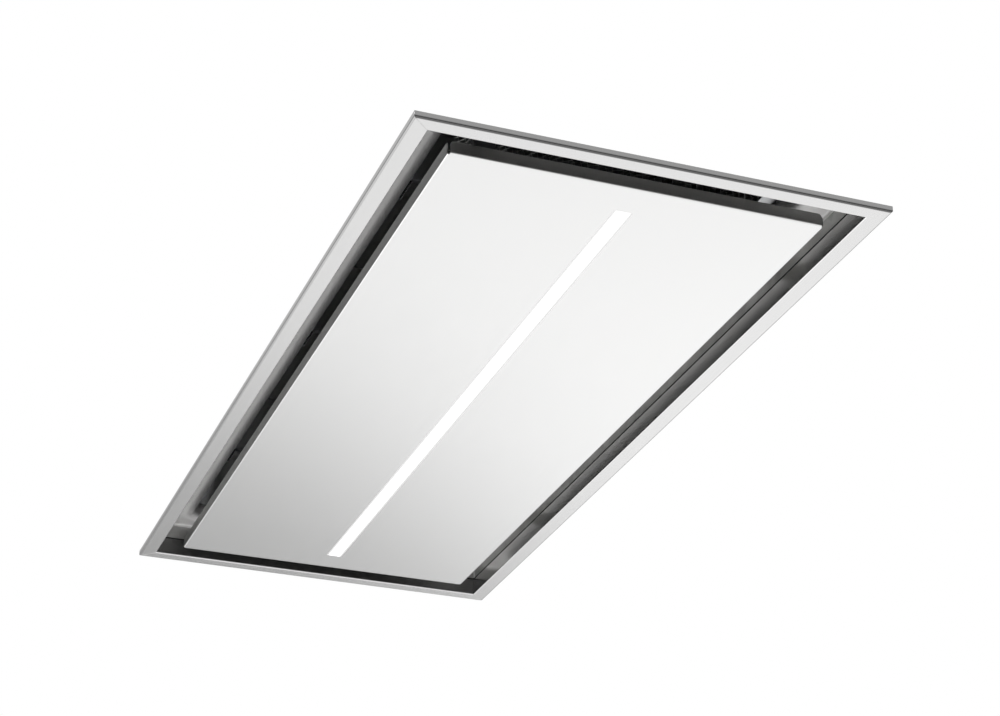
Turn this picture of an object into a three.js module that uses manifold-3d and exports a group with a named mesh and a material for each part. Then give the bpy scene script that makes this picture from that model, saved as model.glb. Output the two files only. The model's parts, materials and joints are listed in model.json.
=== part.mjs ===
// Recessed ceiling hood: folded steel trim frame, drop-down suction panel with a light line,
// grease filters, double-inlet blower and duct collar. Millimetres, +Z up, the ceiling is above.
import * as THREE from 'three';
import { mergeVertices } from 'three/addons/utils/BufferGeometryUtils.js';
import Module from 'manifold-3d';

const wasm = await Module();
wasm.setup();

// ---- driving dimensions: all pieces ----
const gap = 0.3; // between pieces that touch
const grid = 1 / 1024; // finest step of a position
const bite = 1; // how far solids that make up one piece reach into each other
const leastCorner = 0.2; // where a radius runs out

// ---- driving dimensions: trim frame ----
const frameWidth = 500;
const frameLength = 1200;
const frameBorder = 20; // visible width of the frame's face
const frameSheet = 1.2;
const frameBend = 2; // outside radius of the folds
const outerLipHeight = 7; // the edge that meets the ceiling
const innerLipHeight = 23;

// ---- driving dimensions: suction panel ----
const suctionGap = 30; // slot all round the panel
const panelSheet = 1.2;
const panelBend = 2.2; // outside radius of the folds
const panelFlangeHeight = 14;
const panelFlangeEndRadius = 4;
const panelRelief = 0.4; // flange ends stop short of the folds
const foldOverlap = 2; // of a folded strip on the floor it is joined to
const stiffenerCrown = 18; // hat sections bonded inside the panel
const stiffenerLean = 3;
const stiffenerFoot = 12;
const stiffenerHeight = 10;
const stiffenerSheet = 1;
const stiffenerMargin = 35; // panel's edge to the end of a stiffener

// ---- driving dimensions: light line ----
const lightMargin = 45; // panel edge to the end of the slot
const lightSlotWidth = 20;
const lightSlotCorner = 1;
const diffuserStem = 1.4; // depth of the part that fills the slot
const diffuserWing = 3; // how far the lens reaches past the slot on each side
const diffuserBack = 1.6;
const channelWall = 1.2;
const channelHeight = 14;
const channelFoot = 6;
const stripWidth = 12;
const stripMargin = 8; // end of the channel to the end of the strip
const chipPitch = 48;
const chipMargin = 20;
const chipSize = 4;
const chipHeight = 1.1;
const boardSheet = 1.6;

// ---- driving dimensions: body and filter plate ----
const bodySheet = 1;
const bodyStep = 5; // the body's height is a whole number of these
const bodyFit = 0.4; // body wall to the frame's inner lip
const bodyStart = 2; // bottom edge of the walls, hidden in the frame's channel
const bodyFlange = 15;
const topCorner = 3;
const beadRadius = 6; // pressed beads across the top sheet
const beadRise = 2;
const beadMargin = 65; // side wall to the end of a bead
const beadSetback = 220; // end wall to a bead
const plateHeight = 46; // underside of the filter plate
const plateSheet = 1;
const plateBend = 3; // inside radius of its turned-down edge
const plateLip = 0.6; // straight part of its turned-down edge, below the bend
const plateMarginSide = 27; // frame's opening to the rim along the long sides
const plateMarginEnd = 12; // the same at the short ends
const plateCorner = 12; // of the filter opening, in plan
const rimRadius = 15; // bullnose round the filter opening
const rimTop = 80;

// ---- driving dimensions: grease filters ----
const filterCount = 3;
const filterFit = 4; // filter to the wall of the opening
const filterSpacing = 3;
const filterHeight = 66; // underside of the cassettes
const filterThickness = 10;
const filterBorder = 16;
const filterSheet = 1;
const filterCorner = 5;
const pleatPitch = 28;
const pleatRun = 7; // of a pleat's sloping side
const pleatWall = 1.2;
const hookWidth = 24;
const hookReach = 7;
const hookSheet = 1.5;
const hookSpread = 0.6; // of the way from the cassette's middle to its end
const rimPlay = 1; // round the hooks and bolts that pass through the rim
const latchWidth = 34;
const latchLength = 56;
const latchThickness = 2;
const latchNose = 5; // reach of the bolt past the rim
const latchChamfer = 4;
const gripDrop = 9;
const gripLean = 4;
const gripRoot = 6;
const gripTip = 3;
const gripInset = 8; // end of the bolt to its grip
const guideWidth = 3;
const guideInset = 2; // inner edge of the cassette's border to the guides
const strapSheet = 1.2;
const lugWidth = 6;
const lugSheet = 1.2;
const springRadius = 1.9;
const springWire = 0.4;
const springTurns = 3;
const springLength = 14;
const springStart = 26; // from the nose of the bolt
const springPlay = 1; // in the bolt's slot

// ---- driving dimensions: impeller and scroll ----
const impellerRadius = 85;
const impellerWidth = 120;
const bladeDepth = 13;
const bladeCount = 32;
const bladeSheet = 1.2;
const bladeSweep = 0.35; // radians from root to tip
const bladeInset = 0.3; // blade edges inside the end rings
const ringWidth = 4;
const discSheet = 2;
const hubRadius = 14;
const hubTaper = 2;
const hubLength = 26;
const shaftRadius = 4;
const shaftFit = 0.2; // impeller's bore to the shaft
const shaftOverhang = 4;
const tongueAngle = 65; // degrees from the outlet side
const tongueClearance = 8; // impeller to the scroll at its tongue
const scrollGrowth = 42;
const scrollFoot = 4; // rim of the filter opening to the scroll
const scrollHeadroom = 4; // least room between the scroll and the top sheet
const wheelPlay = 10; // impeller to the scroll's side walls
const voluteWall = 1.5;
const inletStep = 8; // inside of the blades to the inlet
const inletLip = 8;
const inletFlare = 3.2;
const inletFacets = 24;
const earOffset = 55; // tab that hangs the scroll from the top sheet
const earWidth = 28;
const earTab = 16;
const earSheet = 2;

// ---- driving dimensions: motor ----
const motorRadius = 45;
const motorLength = 84;
const motorSetback = 10; // motor face to the middle of the impeller
const bossRadius = 23;
const bossRise = 5;
const bellDepth = 13; // motor's face to the widest part of its end bell
const bellRim = 17;
const canStep = 1.5; // middle of the can in from its rims
const motorBoreFit = 1; // round the shaft
const bearingRadius = 11;
const bearingWidth = 7;
const hoopSheet = 2.5;
const hoopWidth = 12;
const hoopStandoff = 4; // scroll to the hoop round the motor
const armCount = 3;
const armWidth = 14;
const armSheet = 2.5;
const armFoot = 14;
const armLean = 6;
const armSetback = 10; // inlet's lip to the foot of an arm
const capacitorRadius = 17;
const capacitorLength = 62;
const capacitorChamfer = 2;
const capacitorGap = 28; // scroll to capacitor
const capacitorSetback = 60;

// ---- driving dimensions: duct collar ----
const ductRadius = 75; // 150 mm duct
const collarWall = 2.5;
const collarFlare = 25; // from the scroll's mouth to the round spigot
const spigotHeight = 36;
const collarRim = 20; // spigot to the edge of the square flange
const collarCorner = 10;
const collarSheet = 3;
const gasketSheet = 2;
const gasketInset = 4;
const mouthCorner = 2;
const mouthFit = 1.5; // round the scroll's mouth in the top sheet
const mouthPlay = 1; // the same in the gasket and the flange
const flapHeight = 9; // spindle above the start of the spigot
const flapSheet = 1.5;
const flapFit = 1.5; // round edge of a flap to the spigot
const flapHingeGap = 6; // spindle's axis to the straight edge of a flap
const flapLedge = 5; // what the flaps rest on when closed
const ledgeSheet = 1.5;
const ledgeSlope = 2.5;
const spindleRadius = 2;
const spindleFit = 0.25;
const spindleCover = 1; // wall left over its ends
const knuckleRadius = 4;
const knuckleLength = 12;
const knuckleSpread = 45; // pairs of knuckles from the middle of the spindle
const knuckleSpacing = 14; // of one pair

// ---- driving dimensions: hinges and catches ----
const hingeOffset = 12; // hinge axis in from the panel's edge
const hingeHeight = 25;
const hingeMargin = 170; // panel's end to a hinge
const hingePinRadius = 2.5;
const hingeEyeRadius = 6;
const pinHead = 1.5;
const leafWidth = 18;
const leafWing = 8;
const leafReach = 14; // hinge axis to the edge inside the panel
const leafHeel = 7; // and to the edge at its flange
const earPlate = 3;
const bracketWing = 6;
const bracketReach = 10;
const bracketSheet = 2.4;
const catchOffset = 12; // catches in from the panel's ends
const catchMargin = 40; // and from its free long edge
const catchWidth = 28;
const magnetWidth = 22;
const magnetDepth = 12;
const magnetHeel = 7; // from the catch's middle towards the panel's middle
const magnetGusset = 5;
const catchSheet = 2.4;
const strikeHeight = 16;
const strikeSheet = 1.2;
const strikeFoot = 14; // these four from the catch's middle
const strikeHeel = 4;
const strikeWeb = 4.2;
const strikeTip = 5;

// ---- driving dimensions: hangers ----
const hangerWidth = 40;
const hangerCrown = 58; // inside, between the webs
const hangerFoot = 16;
const hangerRise = 24;
const hangerSheet = 2.5;
const hangerInset = 12; // side wall to a hanger
const hangerMargin = 52; // end wall to a hanger
const rodSlotWidth = 9;
const rodSlotLength = 45;

// ---- driving dimensions: electronics ----
const boxLength = 150;
const boxWidth = 190;
const boxDepth = 60;
const boxWall = 2;
const boxCorner = 6;
const boxEndGap = 25; // end wall to the box
const lidLip = 5;
const lidLipSheet = 1.5;
const boardMargin = 8;
const boardStandoff = 8;
const partInset = 12; // board's edge to its components
const transformerSize = 36;
const transformerHeight = 26;
const relayWidth = 14;
const relayLength = 26;
const relayHeight = 16;
const relaySpacing = 8;
const smoothingRadius = 9;
const smoothingHeight = 28;
const glandRadius = 9;
const glandInset = 25;
const glandRoom = 50; // kept free of the board
const glandBore = 4;
const glandTail = 6;
const glandCollar = 4;
const glandNut = 5;
const glandDome = 8;
const glandTaper = 2;

// ---- derived places ----
const panelWidth = frameWidth - 2 * (frameBorder + suctionGap);
const panelLength = frameLength - 2 * (frameBorder + suctionGap);
const panelSeat = panelSheet + gap; // what is fixed inside the panel stands here
const slotLength = panelLength - 2 * lightMargin;
const stemX = lightSlotWidth / 2 - gap;
const stemY = slotLength / 2 - gap;
const channelInX = stemX + diffuserWing + gap;
const channelOutX = channelInX + channelWall;
const stiffenerX = (channelOutX + channelFoot + panelWidth / 2) / 2;

const wallX = frameWidth / 2 - frameBorder + frameSheet + bodyFit; // inside of the side walls
const wallY = frameLength / 2 - frameBorder + frameSheet + bodyFit;
const plateX = wallX - gap;
const plateY = wallY - gap;
const plateTop = plateHeight + plateSheet;
const plateSeat = plateHeight - gap; // what is fixed under the filter plate starts here
const plateEdge = plateSheet + plateBend; // width of its turned-down edge
const openX = frameWidth / 2 - frameBorder - plateMarginSide - rimRadius; // inside of the rim
const openY = frameLength / 2 - frameBorder - plateMarginEnd - rimRadius;
const filterX = openX - filterFit;
const filterPitch = 2 * (openY - filterFit) / filterCount;
const filterY = (filterPitch - filterSpacing) / 2;
const latchZ = filterHeight - gap - latchThickness;
const boltStart = -(openX + plateSheet + latchNose);
const lugX = boltStart + springStart + springLength + 2 * gap; // what the spring pushes against
const hookY = hookSpread * filterY; // hooks from the cassette's middle
const hookLow = (filterThickness - hookSheet) / 2;

const tongueRadius = impellerRadius + tongueClearance;
const inletRadius = impellerRadius - bladeDepth - inletStep;
const voluteHalfWidth = impellerWidth / 2 + wheelPlay;

// the scroll's radius grows evenly from its tongue to its mouth
function scrollRadius(degrees) {
  const share = (degrees - tongueAngle) / (360 - tongueAngle);
  return tongueRadius + scrollGrowth * share;
}

const blowerZ = rimTop + scrollFoot + scrollRadius(270) + voluteWall;
const scrollTop = blowerZ + scrollRadius(90) + voluteWall;
const bodyHeight = bodyStep * Math.ceil((scrollTop + scrollHeadroom) / bodyStep);
const topZ = bodyHeight + gap; // underside of the top sheet
const roofZ = topZ + bodySheet;
const mouthInner = tongueRadius * Math.cos(THREE.MathUtils.degToRad(tongueAngle));
const mouthOuter = tongueRadius + scrollGrowth;
const collarX = (mouthInner + mouthOuter) / 2;
const mouthHalf = (mouthOuter - mouthInner) / 2;
const outletRise = roofZ - blowerZ; // the mouth ends flush with the top sheet
const collarHalf = Math.max(ductRadius, voluteHalfWidth) + collarRim;
const flangeZ = roofZ + gap + gasketSheet + gap; // underside of the collar's flange
const spigotZ = flangeZ + collarFlare;
const flapZ = spigotZ + flapHeight;
const throatRadius = ductRadius - collarWall;

const hingeX = panelWidth / 2 - hingeOffset;
const hingeY = panelLength / 2 - hingeMargin;
const catchX = -(panelWidth / 2 - catchMargin);
const catchY = panelLength / 2 - catchOffset;
const hangerLength = hangerCrown + 2 * hangerFoot;
const boxY = -(wallY - boxEndGap - boxLength / 2);
const glandX = -boxWidth / 2 + glandInset;

// ---- solids ----
// positions on a fine grid, so that faces meant to lie in one plane do
function snapped(geometry) {
  const bare = geometry.clone();
  bare.deleteAttribute('normal');
  bare.deleteAttribute('uv');
  const p = bare.attributes.position;
  for (let i = 0; i < p.array.length; i++) {
    p.array[i] = Math.round(p.array[i] / grid) * grid;
  }
  return mergeVertices(bare, grid / 10);
}

function toSolid(geometry) {
  const merged = snapped(geometry);
  return new wasm.Manifold(new wasm.Mesh({
    numProp: 3,
    vertProperties: new Float32Array(merged.attributes.position.array),
    triVerts: new Uint32Array(merged.index.array),
  }));
}

function fromSolid(solid) {
  const mesh = solid.getMesh();
  const geometry = new THREE.BufferGeometry();
  geometry.setAttribute('position', new THREE.BufferAttribute(new Float32Array(mesh.vertProperties), 3));
  geometry.setIndex(new THREE.BufferAttribute(new Uint32Array(mesh.triVerts), 1));
  return geometry;
}

function join(first, ...others) {
  return fromSolid(others.reduce((solid, next) => solid.add(toSolid(next)), toSolid(first)));
}

function cut(first, ...tools) {
  return fromSolid(tools.reduce((solid, tool) => solid.subtract(toSolid(tool)), toSolid(first)));
}

function common(first, second) {
  return fromSolid(toSolid(first).intersect(toSolid(second)));
}

function block(x0, x1, y0, y1, z0, z1) {
  const geometry = new THREE.BoxGeometry(Math.abs(x1 - x0), Math.abs(y1 - y0), Math.abs(z1 - z0));
  return geometry.translate((x0 + x1) / 2, (y0 + y1) / 2, (z0 + z1) / 2);
}

function rod(radius, length, segments = 16) {
  return new THREE.CylinderGeometry(radius, radius, length, segments); // along Y
}

// a profile of [radius, y] points turned round Y
function turned(points, segments = 20) {
  const closed = points.map(([r, y]) => new THREE.Vector2(r, y));
  if (points[0][0] > 0) {
    closed.push(closed[0].clone());
  }
  return closedUp(new THREE.LatheGeometry(closed, segments));
}

// a solid is turned inside out when its volume counts negative
function closedUp(geometry) {
  const merged = snapped(geometry);
  const p = merged.attributes.position;
  const index = Array.from(merged.index.array);
  const [a, b, c] = [new THREE.Vector3(), new THREE.Vector3(), new THREE.Vector3()];
  const kept = [];
  let volume = 0;
  for (let i = 0; i < index.length; i += 3) {
    const [i0, i1, i2] = index.slice(i, i + 3);
    if (i0 === i1 || i1 === i2 || i2 === i0) {
      continue;
    }
    kept.push(i0, i1, i2);
    a.fromBufferAttribute(p, i0);
    b.fromBufferAttribute(p, i1);
    c.fromBufferAttribute(p, i2);
    volume += a.dot(b.cross(c));
  }
  if (volume < 0) {
    kept.reverse();
  }
  merged.setIndex(kept);
  return merged;
}

function outline(points) {
  return new THREE.Shape(points.map(([x, y]) => new THREE.Vector2(x, y)));
}

function holePath(points) {
  return new THREE.Path(points.map(([x, y]) => new THREE.Vector2(x, y)));
}

function roundHole(x, y, radius) {
  const path = new THREE.Path();
  path.absarc(x, y, radius, 0, 2 * Math.PI, true);
  return path;
}

// a profile drawn in X and Z, drawn out along Y
function alongY(shape, length, curveSegments = 6) {
  const geometry = new THREE.ExtrudeGeometry(shape, { depth: length, bevelEnabled: false, curveSegments });
  return geometry.rotateX(Math.PI / 2).translate(0, length / 2, 0);
}

// a profile drawn in Y and Z, drawn out along X
function alongX(shape, length) {
  return alongY(shape, length).rotateZ(Math.PI / 2);
}

function alongZ(shape, z0, z1, curveSegments = 8) {
  const geometry = new THREE.ExtrudeGeometry(shape, { depth: z1 - z0, bevelEnabled: false, curveSegments });
  return geometry.translate(0, 0, z0);
}

// corner points of a rounded rectangle, with the same count whatever its radius
function roundedLoop(halfX, halfY, radius, steps = 4) {
  const points = [];
  const corners = [[1, 1], [-1, 1], [-1, -1], [1, -1]];
  corners.forEach(([sx, sy], corner) => {
    for (let i = 0; i <= steps; i++) {
      const angle = (corner + i / steps) * Math.PI / 2;
      const x = sx * (halfX - radius) + radius * Math.cos(angle);
      const y = sy * (halfY - radius) + radius * Math.sin(angle);
      points.push([x, y]);
    }
  });
  return points;
}

// rings of points skinned one after another, the last back to the first
function ringLoft(rings) {
  const count = rings[0].length;
  const positions = rings.flat().flat();
  const index = [];
  rings.forEach((ring, r) => {
    const next = (r + 1) % rings.length;
    for (let i = 0; i < count; i++) {
      const j = (i + 1) % count;
      const [a, b, c, d] = [r * count + i, r * count + j, next * count + j, next * count + i];
      index.push(a, b, c, a, c, d);
    }
  });
  const geometry = new THREE.BufferGeometry();
  geometry.setAttribute('position', new THREE.Float32BufferAttribute(positions, 3));
  geometry.setIndex(index);
  return closedUp(geometry);
}

// a section of [inset, z] points carried round a rounded rectangle
function carriedRound(section, halfX, halfY, radius, steps = 4) {
  return ringLoft(section.map(([inset, z]) => {
    const corner = Math.max(radius - inset, leastCorner);
    return roundedLoop(halfX - inset, halfY - inset, corner, steps).map(([x, y]) => [x, y, z]);
  }));
}

function arcPoints(cx, cy, radius, from, to, steps) {
  return Array.from({ length: steps + 1 }, (_, i) => {
    const angle = THREE.MathUtils.degToRad(from + (to - from) * i / steps);
    return [cx + radius * Math.cos(angle), cy + radius * Math.sin(angle)];
  });
}

// how far a bend's corner lies aside on the other face of the sheet
function foldShift(run, rise, sheet) {
  return sheet * (Math.hypot(run, rise) - run) / rise;
}

// a hat section standing on z = 0, its crown measured inside
function hatSection(crown, run, foot, height, sheet) {
  const half = crown / 2;
  const shift = foldShift(run, height - sheet, sheet);
  const right = [
    [half, height - sheet], [half + run, 0], [half + run + foot, 0], [half + run + foot, sheet],
    [half + run + shift, sheet], [half + shift, height],
  ];
  const left = right.map(([x, z]) => [-x, z]).reverse();
  return outline([...right, ...left]);
}

// ---- materials ----
function finish(color, roughness, metalness) {
  return { color, roughness, metalness };
}
const finishes = {
  satinSteel: finish(0xc9cacb, 0.32, 1),
  paleSteel: finish(0xe6e6e5, 0.35, 1),
  galvanised: finish(0x9aa0a3, 0.5, 1),
  filterMetal: finish(0xb4b6b6, 0.4, 1),
  zincSteel: finish(0xa8acae, 0.35, 1),
  opal: finish(0xfdfdfb, 0.5, 0),
  aluminium: finish(0xb9bbbd, 0.4, 1),
  circuit: finish(0xe9ece6, 0.5, 0),
  blackPlastic: finish(0x1d1e20, 0.5, 0),
  greyPlastic: finish(0x7c8082, 0.5, 0),
  rubber: finish(0x17181a, 0.8, 0),
};

const group = new THREE.Group();
const panel = new THREE.Group(); // everything that swings down
group.add(panel);

function add(name, geometry, finishName, parent = group) {
  const mesh = new THREE.Mesh(geometry, new THREE.MeshStandardMaterial(finishes[finishName]));
  mesh.name = name;
  parent.add(mesh);
  return mesh;
}

// ---- trim frame: four folded rails, mitred ----
function railSection() {
  const inner = frameBend - frameSheet;
  return [
    [0, outerLipHeight],
    ...arcPoints(frameBend, frameBend, frameBend, 180, 270, 3),
    ...arcPoints(frameBorder - frameBend, frameBend, frameBend, 270, 360, 3),
    [frameBorder, innerLipHeight],
    [frameBorder - frameSheet, innerLipHeight],
    ...arcPoints(frameBorder - frameBend, frameBend, inner, 360, 270, 2),
    ...arcPoints(frameBend, frameBend, inner, 270, 180, 2),
    [frameSheet, outerLipHeight],
  ];
}

function mitredRail(length) {
  const half = (length - gap) / 2;
  const section = railSection();
  const positions = [];
  for (const side of [-1, 1]) {
    section.forEach(([inset, z]) => positions.push(side * (half - inset), inset, z));
  }
  const count = section.length;
  const index = [];
  for (let i = 0; i < count; i++) {
    const j = (i + 1) % count;
    index.push(i, j, count + j, i, count + j, count + i);
  }
  const faces = THREE.ShapeUtils.triangulateShape(section.map(([x, y]) => new THREE.Vector2(x, y)), []);
  faces.forEach(([a, b, c]) => index.push(a, c, b, count + a, count + b, count + c));
  const geometry = new THREE.BufferGeometry();
  geometry.setAttribute('position', new THREE.Float32BufferAttribute(positions, 3));
  geometry.setIndex(index);
  return closedUp(geometry);
}

function addFrame() {
  const rails = [
    ['frame_rail_near', frameWidth, [0, -frameLength / 2], 0],
    ['frame_rail_far', frameWidth, [0, frameLength / 2], Math.PI],
    ['frame_rail_left', frameLength, [-frameWidth / 2, 0], -Math.PI / 2],
    ['frame_rail_right', frameLength, [frameWidth / 2, 0], Math.PI / 2],
  ];
  rails.forEach(([name, length, [x, y], turn]) => {
    const mesh = add(name, mitredRail(length), 'satinSteel');
    mesh.position.set(x, y, 0);
    mesh.rotation.z = turn;
  });
}

// ---- body: folded walls, drawn for the right and far sides and turned for the others ----
function sideWall() {
  const section = outline([
    [wallX, bodyStart], [wallX + bodySheet, bodyStart], [wallX + bodySheet, bodyHeight],
    [wallX - bodyFlange, bodyHeight], [wallX - bodyFlange, bodyHeight - bodySheet],
    [wallX, bodyHeight - bodySheet],
  ]);
  return alongY(section, 2 * (wallY + bodySheet));
}

function endWall() {
  const halfX = wallX - gap;
  const top = bodyHeight - bodySheet - gap;
  const lipLow = plateTop + gap;
  const inY = wallY - bodyFlange;
  const outY = wallY + bodySheet;
  const wall = block(-halfX, halfX, wallY, outY, bodyStart, top);
  const lips = [-1, 1].map((end) => block(end * (halfX - bodySheet), end * halfX, inY, outY, lipLow, top));
  const tab = block(-halfX + bodyFlange, halfX - bodyFlange, inY, outY, top - bodySheet, top);
  return join(wall, ...lips, tab);
}

function addBody() {
  add('body_side_right', sideWall(), 'galvanised');
  add('body_side_left', sideWall(), 'galvanised').rotation.z = Math.PI;
  add('body_end_far', endWall(), 'galvanised');
  add('body_end_near', endWall(), 'galvanised').rotation.z = Math.PI;
}

// ---- filter plate: a pan turned down to the frame, with a bullnose round the filters ----
function panEdge() {
  const outside = arcPoints(plateEdge, plateHeight - plateBend, plateEdge, 180, 90, 3);
  const inside = arcPoints(plateEdge, plateHeight - plateBend, plateBend, 90, 180, 3);
  const low = plateHeight - plateBend - plateLip;
  return carriedRound([
    [0, low], ...outside, [plateEdge + 2 * bite, plateTop], [plateEdge + 2 * bite, plateHeight],
    ...inside, [plateSheet, low],
  ], plateX, plateY, plateBend, 1);
}

function bullnose() {
  const centre = plateHeight + rimRadius;
  const outside = arcPoints(0, centre, rimRadius, 270, 360, 3);
  const inside = arcPoints(0, centre, rimRadius - plateSheet, 360, 270, 3);
  return carriedRound([
    [-bite, plateHeight], ...outside, [rimRadius, rimTop], [rimRadius - plateSheet, rimTop],
    ...inside, [-bite, plateTop],
  ], openX + rimRadius, openY + rimRadius, plateCorner + rimRadius);
}

function rimSlots() {
  const boltHalf = latchWidth / 2 + rimPlay;
  const hookHalf = hookWidth / 2 + rimPlay;
  const slots = [];
  for (let i = 0; i < filterCount; i++) {
    const y = filterCentre(i);
    slots.push(block(-openX - rimRadius, -openX + bite, y - boltHalf, y + boltHalf,
      latchZ - rimPlay, latchZ + latchThickness + rimPlay));
    for (const side of [-1, 1]) {
      const middle = y + side * hookY;
      slots.push(block(openX - bite, openX + rimRadius, middle - hookHalf, middle + hookHalf,
        filterHeight + hookLow - rimPlay, filterHeight + hookLow + hookSheet + rimPlay));
    }
  }
  return slots;
}

function addFilterPlate() {
  const inset = plateEdge + bite;
  const plan = outline(roundedLoop(plateX - inset, plateY - inset, leastCorner, 1));
  plan.holes.push(holePath(roundedLoop(openX + rimRadius, openY + rimRadius, plateCorner + rimRadius)));
  const flat = alongZ(plan, plateHeight, plateTop);
  add('filter_plate', cut(join(flat, panEdge(), bullnose()), ...rimSlots()), 'satinSteel');
}

// ---- grease filters: pleated mesh in a folded frame, hooks on one side, sprung bolt on the other ----
function filterCentre(i) {
  return (i - (filterCount - 1) / 2) * filterPitch;
}

function filterFrame() {
  const top = filterThickness;
  const channel = carriedRound([
    [0, 0], [filterBorder, 0], [filterBorder, filterSheet], [filterSheet, filterSheet],
    [filterSheet, top - filterSheet], [filterBorder, top - filterSheet], [filterBorder, top], [0, top],
  ], filterX, filterY, filterCorner, 2);
  const hooks = [-1, 1].map((side) => {
    const [from, to] = [side * hookY - hookWidth / 2, side * hookY + hookWidth / 2];
    return block(filterX - filterSheet, filterX + hookReach, from, to, hookLow, hookLow + hookSheet);
  });
  const guideX = -filterX + filterBorder - guideInset;
  const guideY = latchWidth / 2 + guideWidth;
  const strapTop = latchZ - filterHeight - gap;
  const strapLow = strapTop - strapSheet;
  const guides = [-1, 1].map((side) => block(-filterX + bite, guideX,
    side * (latchWidth / 2 + gap), side * guideY, strapLow, filterSheet / 2));
  const strap = block(-filterX + bite, guideX, -guideY, guideY, strapLow, strapTop);
  const half = lugWidth / 2;
  const lugLow = -2 * (springRadius + springWire + gap);
  const tongue = block(-filterX + filterBorder - bite, lugX + lugSheet, -half, half, 0, filterSheet);
  const lug = block(lugX, lugX + lugSheet, -half, half, lugLow, filterSheet);
  return join(channel, ...hooks, ...guides, strap, tongue, lug);
}

function pleatedMesh() {
  const play = filterSheet + gap + filterCorner * (1 - Math.SQRT1_2); // clear of the rounded corners
  const halfX = filterX - play;
  const low = filterSheet + gap;
  const high = filterThickness - filterSheet - gap;
  const shift = foldShift(pleatRun, high - low - pleatWall, pleatWall);
  const pleats = Math.floor(2 * (halfX - filterBorder) / pleatPitch);
  const upper = [[-halfX, low + pleatWall]];
  const lower = [[-halfX, low]];
  for (let i = 0; i <= pleats; i++) {
    const x = (i - pleats / 2) * pleatPitch;
    const next = x + pleatPitch;
    upper.push([x, low + pleatWall]);
    lower.push([x, low]);
    if (i < pleats) {
      upper.push([x + pleatRun, high], [next - pleatRun, high]);
      lower.push([x + pleatRun + shift, high - pleatWall], [next - pleatRun - shift, high - pleatWall]);
    }
  }
  upper.push([halfX, low + pleatWall]);
  lower.push([halfX, low]);
  return alongY(outline([...lower, ...upper.reverse()]), 2 * (filterY - play));
}

function latchBolt() {
  const end = boltStart + latchLength;
  const half = latchWidth / 2;
  const plan = outline([
    [boltStart, -half + latchChamfer], [boltStart + latchChamfer, -half], [end, -half],
    [end, half], [boltStart + latchChamfer, half], [boltStart, half - latchChamfer],
  ]);
  const gripX = end - gripInset;
  const grip = outline([
    [gripX, latchThickness / 2], [gripX + gripLean, -gripDrop],
    [gripX + gripLean + gripTip, -gripDrop], [gripX + gripRoot, latchThickness / 2],
  ]);
  const slotHalf = springRadius + springWire + springPlay;
  const slot = block(boltStart + springStart, lugX + lugSheet + springPlay, -slotHalf, slotHalf,
    -bite, latchThickness + bite);
  return join(cut(alongZ(plan, 0, latchThickness), slot), alongY(grip, latchWidth - 2 * latchChamfer));
}

class CoilCurve extends THREE.Curve {
  getPoint(t, target = new THREE.Vector3()) {
    const angle = 2 * Math.PI * springTurns * t;
    return target.set((t - 0.5) * (springLength - 2 * springWire), springRadius * Math.cos(angle),
      springRadius * Math.sin(angle));
  }
}

function coilSpring() {
  const sides = 5;
  const wire = outline(arcPoints(0, 0, springWire, 0, 360, sides).slice(0, sides));
  const options = { steps: springTurns * 6, bevelEnabled: false, extrudePath: new CoilCurve() };
  return closedUp(new THREE.ExtrudeGeometry(wire, options));
}

function addFilters() {
  for (let i = 0; i < filterCount; i++) {
    const cassette = new THREE.Group();
    cassette.position.set(0, filterCentre(i), filterHeight);
    group.add(cassette);
    add(`filter_frame_${i + 1}`, filterFrame(), 'zincSteel', cassette);
    add(`filter_mesh_${i + 1}`, pleatedMesh(), 'filterMetal', cassette);
    const bolt = add(`filter_latch_${i + 1}`, latchBolt(), 'blackPlastic', cassette);
    bolt.position.z = latchZ - filterHeight;
    const spring = add(`latch_spring_${i + 1}`, coilSpring(), 'zincSteel', cassette);
    spring.position.set(lugX - gap - springLength / 2, 0, -gap - springRadius - springWire);
  }
}

// ---- suction panel: folded tray with a slot for the light ----
// a flange along the panel's edge: folded section, then its free corners rounded
function foldedFlange(length) {
  const inner = panelBend - panelSheet;
  const section = outline([
    [-foldOverlap - panelBend, 0], ...arcPoints(-panelBend, panelBend, panelBend, 270, 360, 4),
    [0, panelFlangeHeight], [-panelSheet, panelFlangeHeight],
    ...arcPoints(-panelBend, panelBend, inner, 360, 270, 3), [-foldOverlap - panelBend, panelSheet],
  ]);
  const half = length / 2;
  const top = panelFlangeHeight - panelFlangeEndRadius;
  const face = outline([
    [-half, -bite], [half, -bite],
    ...arcPoints(half - panelFlangeEndRadius, top, panelFlangeEndRadius, 0, 90, 4),
    ...arcPoints(-half + panelFlangeEndRadius, top, panelFlangeEndRadius, 90, 180, 4),
  ]);
  return common(alongY(section, length), alongX(face, 4 * (panelBend + foldOverlap)));
}

function suctionPanel() {
  const halfX = panelWidth / 2;
  const halfY = panelLength / 2;
  const floorX = halfX - panelBend;
  const floorY = halfY - panelBend;
  const floor = block(-floorX, floorX, -floorY, floorY, 0, panelSheet);
  const longFlange = foldedFlange(2 * (floorY - panelRelief));
  const shortFlange = foldedFlange(2 * (floorX - panelRelief));
  const flanges = [
    longFlange.clone().translate(halfX, 0, 0),
    longFlange.clone().rotateZ(Math.PI).translate(-halfX, 0, 0),
    shortFlange.clone().rotateZ(Math.PI / 2).translate(0, halfY, 0),
    shortFlange.clone().rotateZ(-Math.PI / 2).translate(0, -halfY, 0),
  ];
  const slotPlan = outline(roundedLoop(lightSlotWidth / 2, slotLength / 2, lightSlotCorner, 2));
  return cut(join(floor, ...flanges), alongZ(slotPlan, -bite, panelSheet + bite));
}

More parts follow.
